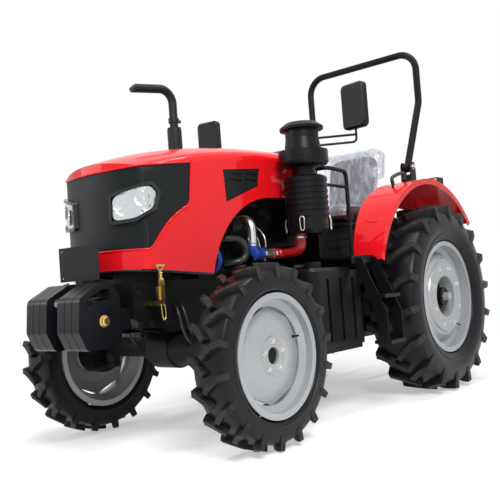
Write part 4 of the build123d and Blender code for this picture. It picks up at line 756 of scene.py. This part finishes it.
lamp_chrome = surface("lamp_chrome", (0.62, 0.64, 0.65), rough=0.16, grain=75, bump=0.006, spread=0.2,
                      metal=1.0)
lamp_cover = surface("lamp_cover", (0.80, 0.86, 0.88), rough=0.05, grain=200, bump=0.0001, spread=0.03,
                     coat=0.5)
lamp_cover.node_tree.nodes["Principled BSDF"].inputs["Alpha"].default_value = COVER_ALPHA
dress(bezel_black, "headlamps")
lamp_faces = mesh_tree("headlamps")
lamp_line = [Vector(p) for p in LAMP_OUTLINE]
for rounding in range(3):
    cut = []
    for one, two in zip(lamp_line, lamp_line[1:] + lamp_line[:1]):
        cut += [one.lerp(two, CORNER_CUT), one.lerp(two, 1 - CORNER_CUT)]
    lamp_line = cut


def on_lamp(u, z, rise):
    """A point that stands a little way out from the floor of the lamp."""
    base = from_axle(*LAMP_AT, z) + LAMP_ALONG * u
    hit = lamp_faces.ray_cast(base + LAMP_OUT * 0.3, -LAMP_OUT)[0]
    return hit + LAMP_OUT * rise if hit else base


def lamp_sheet(bm, hand, rise):
    """Adds a sheet that fills the lamp, a little way out from its floor."""
    rings = []
    for scale in LAMP_RINGS:
        ring = []
        for point in lamp_line:
            spot = LAMP_MIDDLE + (point - LAMP_MIDDLE) * LAMP_INSET * scale
            place = on_lamp(spot.x, spot.y, rise)
            ring.append(bm.verts.new((place.x, place.y * hand, place.z)))
        rings.append(ring + ring[:1])
    skin(bm, rings)
    bm.faces.new(ring)


for side, hand in SIDES:
    reflector = bmesh.new()
    lamp_sheet(reflector, hand, REFLECTOR_RISE)
    for u, z, size in LAMP_BOWLS:
        place = on_lamp(u, z, 0.0)
        turned(reflector, [(along, radius * size) for along, radius in BOWL_PROFILE],
               (place.x, place.y * hand, place.z), (LAMP_OUT.x, LAMP_OUT.y * hand, 0), 40)
    piece(f"lamp_reflector_{side}", reflector, lamp_chrome, "hood")
    cover = bmesh.new()
    lamp_sheet(cover, hand, COVER_RISE)
    piece(f"lamp_cover_{side}", cover, lamp_cover, "hood")

# Nose weights and number plate: cast iron slabs in thick gloss black, clamped on a bracket by one long bolt,
# and a blank sheet steel plate that stands in front of the grille.
WEIGHT_BOLT_AT = (2.692, 0.2255, 0.744)
WEIGHT_BOLT = 0.024
weight_black = surface("weight_black", (0.0065, 0.0072, 0.0095), rough=0.28, grain=120, bump=0.0008,
                       spread=0.2, shine=0.2)
plate_grey = surface("plate_grey", (0.016, 0.016, 0.017), rough=0.5, grain=500, bump=0.0002, spread=0.15,
                     shine=0.12)
dress(weight_black, "weights")
dress(plate_grey, "number_plate")
side_bolts("weight_bolts", [WEIGHT_BOLT_AT], WEIGHT_BOLT, yellow_zinc)

# Floor, dash and controls: a black steel floor with the levers in it, and a moulded dash on the firewall.
# Three dials with raised rings and marks are let into the dash, in front of a moulded steering wheel.
DIALS = ((-0.095, 0.034), (0.0, 0.046), (0.095, 0.034))
DIAL_RING = [(0.0, 1), (0.009, 1), (0.011, 0.95), (0.009, 0.88), (0.002, 0.86)]
DIAL_FACE = [(0.001, 0.87), (0.0022, 0.8), (0.0022, 0)]
DIAL_HUB = [(0.002, 0), (0.002, 0.12), (0.005, 0.1), (0.006, 0)]
DIAL_MARK = [(0, 0), (0, 0.0022), (0.0012, 0.0018), (0.0012, 0)]
DIAL_MARK_RISE = 0.002
DIAL_MARK_REACH = 0.68
DIAL_MARKS = range(-120, 121, 30)
moulded_black = surface("moulded_black", (0.0065, 0.007, 0.008), rough=0.32, grain=800, bump=0.0004,
                        shine=0.15)
dial_white = surface("dial_white", (0.55, 0.56, 0.55), rough=0.3, grain=300, bump=0.0001, spread=0.04)
dress(chassis_black, "floor", "levers")
dress(moulded_black, "dash", "steering_wheel")
dial_rings, dial_faces = bmesh.new(), bmesh.new()
dash_faces = mesh_tree("dash")
for y, size in DIALS:
    place, way = dash_faces.ray_cast(from_axle(0.45, y, 1.78), Vector((1, 0, -0.45)).normalized())[:2]
    dial = ((dial_rings, DIAL_RING, 40), (dial_faces, DIAL_FACE, 40), (dial_rings, DIAL_HUB, 16))
    for bm, profile, sides in dial:
        turned(bm, [(along, radius * size) for along, radius in profile], place, way, sides)
    side_way = way.orthogonal().normalized()
    for angle in DIAL_MARKS:
        spin = Matrix.Rotation(radians(angle), 3, way)
        mark = place + way * DIAL_MARK_RISE + (spin @ side_way) * DIAL_MARK_REACH * size
        turned(dial_rings, DIAL_MARK, mark, way, 8)
piece("dial_rings", dial_rings, moulded_black, "chassis")
piece("dial_faces", dial_faces, dial_white, "chassis")

# Fuel tank, battery box and steps: a ribbed tank and a box blown in black plastic, carried on the frame,
# and steps of folded steel plate bolted on behind the tank.
dress(moulded_black, "fuel_tank", "battery_box")
dress(chassis_black, "steps")

# Seat: two foam cushions on a sprung steel base, covered in brown leathercloth.
# The cover is sewn down along its channels, so the foam swells between them.
SEAT_SIZE = (0.455, 0.448, 0.105)
SEAT_SEAMS = [("y", 0.135), ("y", -0.135), ("x", 0.02)]
SEAT_PLACE = Matrix.Translation(from_axle(0.180, 0, 1.354))
BACK_SIZE = (0.530, 0.448, 0.088)
BACK_SEAMS = [("y", 0.135), ("y", -0.135), ("x", -0.06), ("x", 0.10)]
BACK_LEAN = Matrix.Rotation(radians(-10), 4, "Y")
BACK_PLACE = (Matrix.Translation(from_axle(-0.0603, 0, 1.330)) @ BACK_LEAN
              @ Matrix.Translation((-0.055, 0, 0.278)) @ Matrix.Rotation(radians(90), 4, "Y"))
CUSHION_CUTS = 7
CUSHION_VOXEL = 0.008
SWELL_PRESSURE = 4
SWELL_FRAMES = 20
SWELL_CAP = 0.010
SEAM_HOLD = 0.007
BASE_HOLD = 0.42
CHANNEL_DEPTH = 0.008
CHANNEL_WIDTH = 0.006
seat_brown = surface("seat_brown", (0.085, 0.020, 0.018), rough=0.4, grain=520, bump=0.0006, spread=0.2)
dress(chassis_black, "seat_base")


def from_seam(place, seams):
    """How far a point of a cushion is from the nearest of its seams."""
    return min(abs(place.y - seam) if way == "y" else abs(place.x - seam) for way, seam in seams)


def cushion(name, size, seams, frame_matrix, replaced):
    """A foam cushion with sewn channels: it swells except where the seams hold the cover down."""
    length, width, thick = size
    bm = bmesh.new()
    bmesh.ops.create_cube(bm, size=1)
    bmesh.ops.subdivide_edges(bm, edges=bm.edges, cuts=CUSHION_CUTS, use_grid_fill=True)
    for corner in bm.verts:
        p = corner.co * 2
        scale = sum(Vector((abs(p.x) ** 6, abs(p.y) ** 6, abs(p.z) ** 4))) ** (-1 / 6)
        corner.co = Vector((p.x * length / 2, p.y * width / 2, p.z * thick / 2)) * scale
    made = piece(name, bm, seat_brown, "chassis", 180)
    fine = made.modifiers.new("fine", "REMESH")
    fine.mode = "VOXEL"
    fine.voxel_size = CUSHION_VOXEL
    settled = bpy.data.meshes.new_from_object(made.evaluated_get(bpy.context.evaluated_depsgraph_get()))
    made.modifiers.clear()
    made.data = settled
    start = [v.co.copy() for v in settled.vertices]
    held = made.vertex_groups.new(name="held")
    for v in settled.vertices:
        if from_seam(v.co, seams) < SEAM_HOLD or v.co.z < -BASE_HOLD * thick:
            held.add([v.index], 1.0, "REPLACE")
    cloth = made.modifiers.new("swell", "CLOTH")
    cloth.settings.use_pressure = True
    cloth.settings.uniform_pressure_force = SWELL_PRESSURE
    cloth.settings.effector_weights.gravity = 0
    cloth.settings.vertex_group_mass = "held"
    for step in range(1, SWELL_FRAMES + 1):
        scene.frame_set(step)
    swollen = made.evaluated_get(bpy.context.evaluated_depsgraph_get())
    places = [v.co.copy() for v in swollen.to_mesh().vertices]
    swollen.to_mesh_clear()
    made.modifiers.clear()
    scene.frame_set(1)
    for v, old, new in zip(settled.vertices, start, places):
        shift = new - old
        v.co = old + shift.normalized() * min(shift.length, SWELL_CAP) if shift.length else old
    for v in settled.vertices:
        if v.co.z > 0:
            v.co.z -= CHANNEL_DEPTH * exp(-(from_seam(v.co, seams) / CHANNEL_WIDTH) ** 2)
        v.co = frame_matrix @ v.co
    settled.shade_smooth()
    settled.materials.clear()
    settled.materials.append(seat_brown)
    soft = made.modifiers.new("soft", "SUBSURF")
    soft.levels = soft.render_levels = 1
    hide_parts(replaced)


cushion("seat_pad", SEAT_SIZE, SEAT_SEAMS, SEAT_PLACE, "seat_cushion")
cushion("back_pad", BACK_SIZE, BACK_SEAMS, BACK_PLACE, "seat_back")

# Clear film: thin loose sheets that the seat was delivered in, laid over the two cushions.
# They crumple all over, droop past the cushions' edges and hang down behind the back.
FILM_WIDTH = 0.53
FILM_COLUMNS = 46
FILM_GAP = 0.006
FILM_CRUMPLE = 0.007
FILM_EDGE = 0.226
FILM_DROOP = 0.7
FILM_SHEEN_ALPHA = (0.30, 0.72)
FILM_SPAN = (0.42, 0.66)
FILM_ON_SEAT = [(0.425, 1.34), (0.418, 1.395), (0.37, 1.424), (0.22, 1.426), (0.07, 1.424)]
FILM_ON_BACK = [(-0.070, 1.445), (-0.100, 1.62), (-0.136, 1.83), (-0.148, 1.880), (-0.178, 1.900),
                (-0.228, 1.896), (-0.274, 1.868), (-0.277, 1.825), (-0.247, 1.66)]
clear_film, film_tree, film_shader = new_material("clear_film")
# The film's pale blue colour, laid on in patches that follow its folds, is a painted reflection on the
# crinkled clear sheet.
film_shader.inputs["Base Color"].default_value = (0.50, 0.57, 0.66, 1)
film_shader.inputs["Roughness"].default_value = 0.2
film_folds = node(film_tree, "Mapping", Rotation=(0.5, 0.4, 0.2), Scale=(7, 17, 6))
film_noise = node(film_tree, "TexNoise", Scale=1.0, Detail=3.0, Roughness=0.55, Distortion=1.2)
film_relief = node(film_tree, "Bump", Strength=0.7, Distance=0.006)
link(node(film_tree, "TexCoord").outputs["Object"], film_folds.inputs["Vector"])
link(film_folds.outputs[0], film_noise.inputs["Vector"])
link(film_noise.outputs["Fac"], film_relief.inputs["Height"])
link(film_relief.outputs[0], film_shader.inputs["Normal"])
# Painted reflection: the pale blue covers most where the fold pattern is high.
film_sheen_alpha = mapped(film_tree, film_noise.outputs["Fac"], FILM_SHEEN_ALPHA, FILM_SPAN)
link(film_sheen_alpha, film_shader.inputs["Alpha"])


def film_sheet(name, path):
    """A loose sheet that follows a line over a cushion."""
    line = [Vector(point) for point in rounded_line(path, 14)]
    bm = bmesh.new()
    rows = []
    run = 0
    for number, point in enumerate(line):
        ahead = line[min(number + 1, len(line) - 1)] - line[max(number - 1, 0)]
        out = Vector((ahead.y, -ahead.x)).normalized()
        if number:
            run += (point - line[number - 1]).length
        row = []
        for i in range(FILM_COLUMNS + 1):
            across_at = (i / FILM_COLUMNS - 0.5) * FILM_WIDTH
            crumple = noise.fractal(Vector((across_at * 9, run * 7, 3.1)), 0.7, 2.1, 4) * FILM_CRUMPLE
            droop = max(0, abs(across_at) - FILM_EDGE) * FILM_DROOP
            rise = FILM_GAP + crumple - droop
            row.append(bm.verts.new(from_axle(point.x + out.x * rise, across_at, point.y + out.y * rise)))
        rows.append(row)
    skin(bm, rows)
    made = piece(name, bm, clear_film, "chassis", 180)


film_sheet("film_on_seat", FILM_ON_SEAT)
film_sheet("film_on_back", FILM_ON_BACK)

# Fenders: rolled sheet in the hood's red, with a bead pressed into the top and a wired outer edge.
# A grab handle of bent tube in a rubber sleeve is bolted on top.
FENDER_AT = (-0.030, 0.700)
FENDER_R = 0.866
FENDER_BEAD = [(40, 0.56), (38, 0.64), (40, 0.70), (58, 0.71), (80, 0.71), (98, 0.71), (101, 0.66),
               (101, 0.58), (98, 0.52), (80, 0.51), (58, 0.52), (45, 0.54)]
BEAD_SINK = 0.001
BEAD_R = 0.005
LIP_Y = 0.7415
LIP_ARC = (19.4, 140.6)
LIP_STEPS = 25
LIP_SINK = 0.0095
LIP_R = 0.0108
HANDLE_SLEEVE = [(68, 0.016), (68, 0.045), (68.3, 0.068), (69.8, 0.072), (74, 0.072), (78.2, 0.072),
                 (79.7, 0.068), (80, 0.045), (80, 0.016)]
HANDLE_Y = 0.620
SLEEVE_R = 0.0135
dress(hood_red, "fender_left", "fender_right")


def on_fender(angle, y, rise):
    """A point over the fender's arc, at an angle from level ahead."""
    a = radians(angle)
    return (FENDER_AT[0] + (FENDER_R + rise) * cos(a), y, FENDER_AT[1] + (FENDER_R + rise) * sin(a))


bead_line = [on_fender(angle, y, -BEAD_SINK) for angle, y in FENDER_BEAD]
lip_step = (LIP_ARC[1] - LIP_ARC[0]) / LIP_STEPS
lip_line = [on_fender(LIP_ARC[0] + step * lip_step, LIP_Y, -LIP_SINK) for step in range(LIP_STEPS + 1)]
sleeve_line = [on_fender(angle, HANDLE_Y, rise) for angle, rise in HANDLE_SLEEVE]
for side, hand in SIDES:
    pipe(f"fender_bead_{side}", route(bead_line, hand), BEAD_R, hood_red, "chassis", closed=True)
    pipe(f"fender_lip_{side}", route(lip_line, hand), LIP_R, hood_red, "chassis")
    pipe(f"handle_sleeve_{side}", route(sleeve_line, hand), SLEEVE_R, hose_rubber, "chassis")

# Rear lamps: a moulded black box on each fender with a domed red lens behind and an amber one in front.
# The lenses are pressed acrylic, screwed on from inside.
LENS_Y = (0.607, 0.713)
LENS_TOP = 0.008
TAIL_LENS_FOOT = 0.066
TURN_LENS_FOOT = 0.048
LENS_RISE = 0.010
LENS_CELLS = (5, 4)
lens_red = surface("lens_red", (0.42, 0.008, 0.008), rough=0.12, grain=160, bump=0.002, spread=0.1, coat=0.8)
lens_amber = surface("lens_amber", (0.70, 0.20, 0.01), rough=0.12, grain=160, bump=0.002, spread=0.1,
                     coat=0.8)
dress(moulded_black, "rear_lamps")
lamp_low, lamp_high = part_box("rear_lamps")


def grid(cells, place):
    """A sheet of corners, each placed by how far it is from the middle both ways, from -1 to 1."""
    across_cells, up_cells = cells
    bm = bmesh.new()
    rows = []
    for i in range(-across_cells, across_cells + 1):
        shares = [(i / across_cells, j / up_cells) for j in range(-up_cells, up_cells + 1)]
        rows.append([bm.verts.new(place(u, v)) for u, v in shares])
    skin(bm, rows)
    return bm


def domed_lens(name, x, facing, hand, foot, material):
    """A lens that stands out from the lamp's face, highest in its middle."""
    y_middle, y_half = hand * sum(LENS_Y) / 2, (LENS_Y[1] - LENS_Y[0]) / 2
    z_middle, z_half = lamp_high.z - (foot + LENS_TOP) / 2, (foot - LENS_TOP) / 2

    def on_lens(u, v):
        rise = LENS_RISE * (1 - abs(u) ** 4) * (1 - abs(v) ** 4)
        return (x + facing * rise, y_middle + u * y_half, z_middle + v * z_half)

    piece(name, grid(LENS_CELLS, on_lens), material, "chassis", 60)


for side, hand in SIDES:
    domed_lens(f"tail_lens_{side}", lamp_low.x, -1, hand, TAIL_LENS_FOOT, lens_red)
    domed_lens(f"turn_lens_{side}", lamp_high.x, 1, hand, TURN_LENS_FOOT, lens_amber)

# Roll bar, posts and handrails: bent steel tube in satin black. The hoop folds back on two pivot bolts,
# zinc plated, through the forks of its posts.
PIVOT_AT = (-0.269, 0.503, 1.715)
PIVOT_BOLT = 0.017
dress(chassis_black, "rops_hoop", "rops_posts", "handrails")
side_bolts("roll_bar_bolts", [PIVOT_AT], PIVOT_BOLT, white_zinc)

# Mirrors: silvered glass, a little bulged, in moulded black cases.
# Each case stands on two bent rods from a bracket on the firewall.
GLASS_MIDDLE = (0.60, 0.665, 2.015)
GLASS_HALF = (0.084, 0.138)
GLASS_GAP = 0.0012
GLASS_BULGE = 0.003
GLASS_CELLS = (6, 8)
GLASS_SQUARE = 8
mirror_glass = surface("mirror_glass", (0.75, 0.78, 0.80), rough=0.04, grain=30, bump=0.0, spread=0.03,
                       metal=1.0)
dress(moulded_black, "mirrors")
mirror_faces = mesh_tree("mirrors")
for side, hand in SIDES:
    def on_glass(u, v):
        corner = max(abs(u) ** GLASS_SQUARE + abs(v) ** GLASS_SQUARE, 1) ** (-1 / GLASS_SQUARE)
        x, y, z = GLASS_MIDDLE
        start = from_axle(x, (y + GLASS_HALF[0] * u * corner) * hand, z + GLASS_HALF[1] * v * corner)
        hit = mirror_faces.ray_cast(start, Vector((1, 0, 0)))[0]
        bulge = GLASS_BULGE * (1 - u * u) * (1 - v * v)
        return (hit or start) - Vector((GLASS_GAP + bulge, 0, 0))

    piece(f"mirror_glass_{side}", grid(GLASS_CELLS, on_glass), mirror_glass, "chassis", 60)

# Exhaust: steel tube in heat-proof black that stands beside the hood on the right, bent forward at the top.
# A guard of punched sheet is rolled round its lower part, to keep hands off.
EXHAUST_AT = (1.462, -0.420)
GUARD_R = 0.0505
GUARD_Z = (1.572, 1.988)
GUARD_ROWS = 24
GUARD_HOLES = 16
GUARD_WEB = 0.0045
GUARD_WALL = 0.0012
exhaust_black = surface("exhaust_black", (0.008, 0.008, 0.0085), rough=0.5, grain=300, bump=0.0005,
                        shine=0.25)
# The guard's black is lighter than the pipe's beneath it: a painted sheen on its webs, which lets the punched
# lattice show against the pipe.
guard_sheen_black = surface("guard_sheen_black", (0.020, 0.019, 0.022), rough=0.36, grain=300, bump=0.0003, spread=0.2,
                      shine=0.22)
dress(exhaust_black, "exhaust")
guard = bmesh.new()
guard_rows = []
for row in range(GUARD_ROWS + 1):
    middle = from_axle(*EXHAUST_AT, GUARD_Z[0] + (GUARD_Z[1] - GUARD_Z[0]) * row / GUARD_ROWS)
    ring = []
    for number in range(GUARD_HOLES):
        angle = 2 * pi * number / GUARD_HOLES
        ring.append(guard.verts.new(middle + GUARD_R * Vector((cos(angle), sin(angle), 0))))
    guard_rows.append(ring + ring[:1])
skin(guard, guard_rows)
guard.normal_update()
cells = list(guard.faces)
bmesh.ops.inset_individual(guard, faces=cells, thickness=GUARD_WEB)
bmesh.ops.delete(guard, geom=cells, context="FACES")
guard_piece = piece("exhaust_guard", guard, guard_sheen_black, "chassis")
guard_wall = guard_piece.modifiers.new("wall", "SOLIDIFY")
guard_wall.thickness = GUARD_WALL

# Air cleaner: a ribbed black canister with its pre-cleaner on top, on the left in front of the firewall.
# Four spring clips of bent zinc-plated wire hold the bowl on underneath.
AIR_AT = (1.262, 0.517)
AIR_R = 0.138
CLIP_ANGLES = (20, 110, 200, 290)
CLIP_LINE = [(-0.014, 0.004, 1.262), (-0.014, 0.010, 1.235), (-0.012, 0.006, 1.19), (0, 0.010, 1.178),
             (0.012, 0.006, 1.19), (0.014, 0.010, 1.235), (0.014, 0.004, 1.262), (0, 0.003, 1.272)]
CLIP_WIRE_R = 0.0028
dress(moulded_black, "air_cleaner")
for number, angle in enumerate(CLIP_ANGLES):
    out = Vector((cos(radians(angle)), sin(radians(angle)), 0))
    around = Vector((-out.y, out.x, 0))
    clip = [from_axle(*AIR_AT, z) + out * (AIR_R + rise) + around * off for off, rise, z in CLIP_LINE]
    pipe(f"bowl_clip_{number + 1}", clip, CLIP_WIRE_R, white_zinc, "chassis", closed=True)
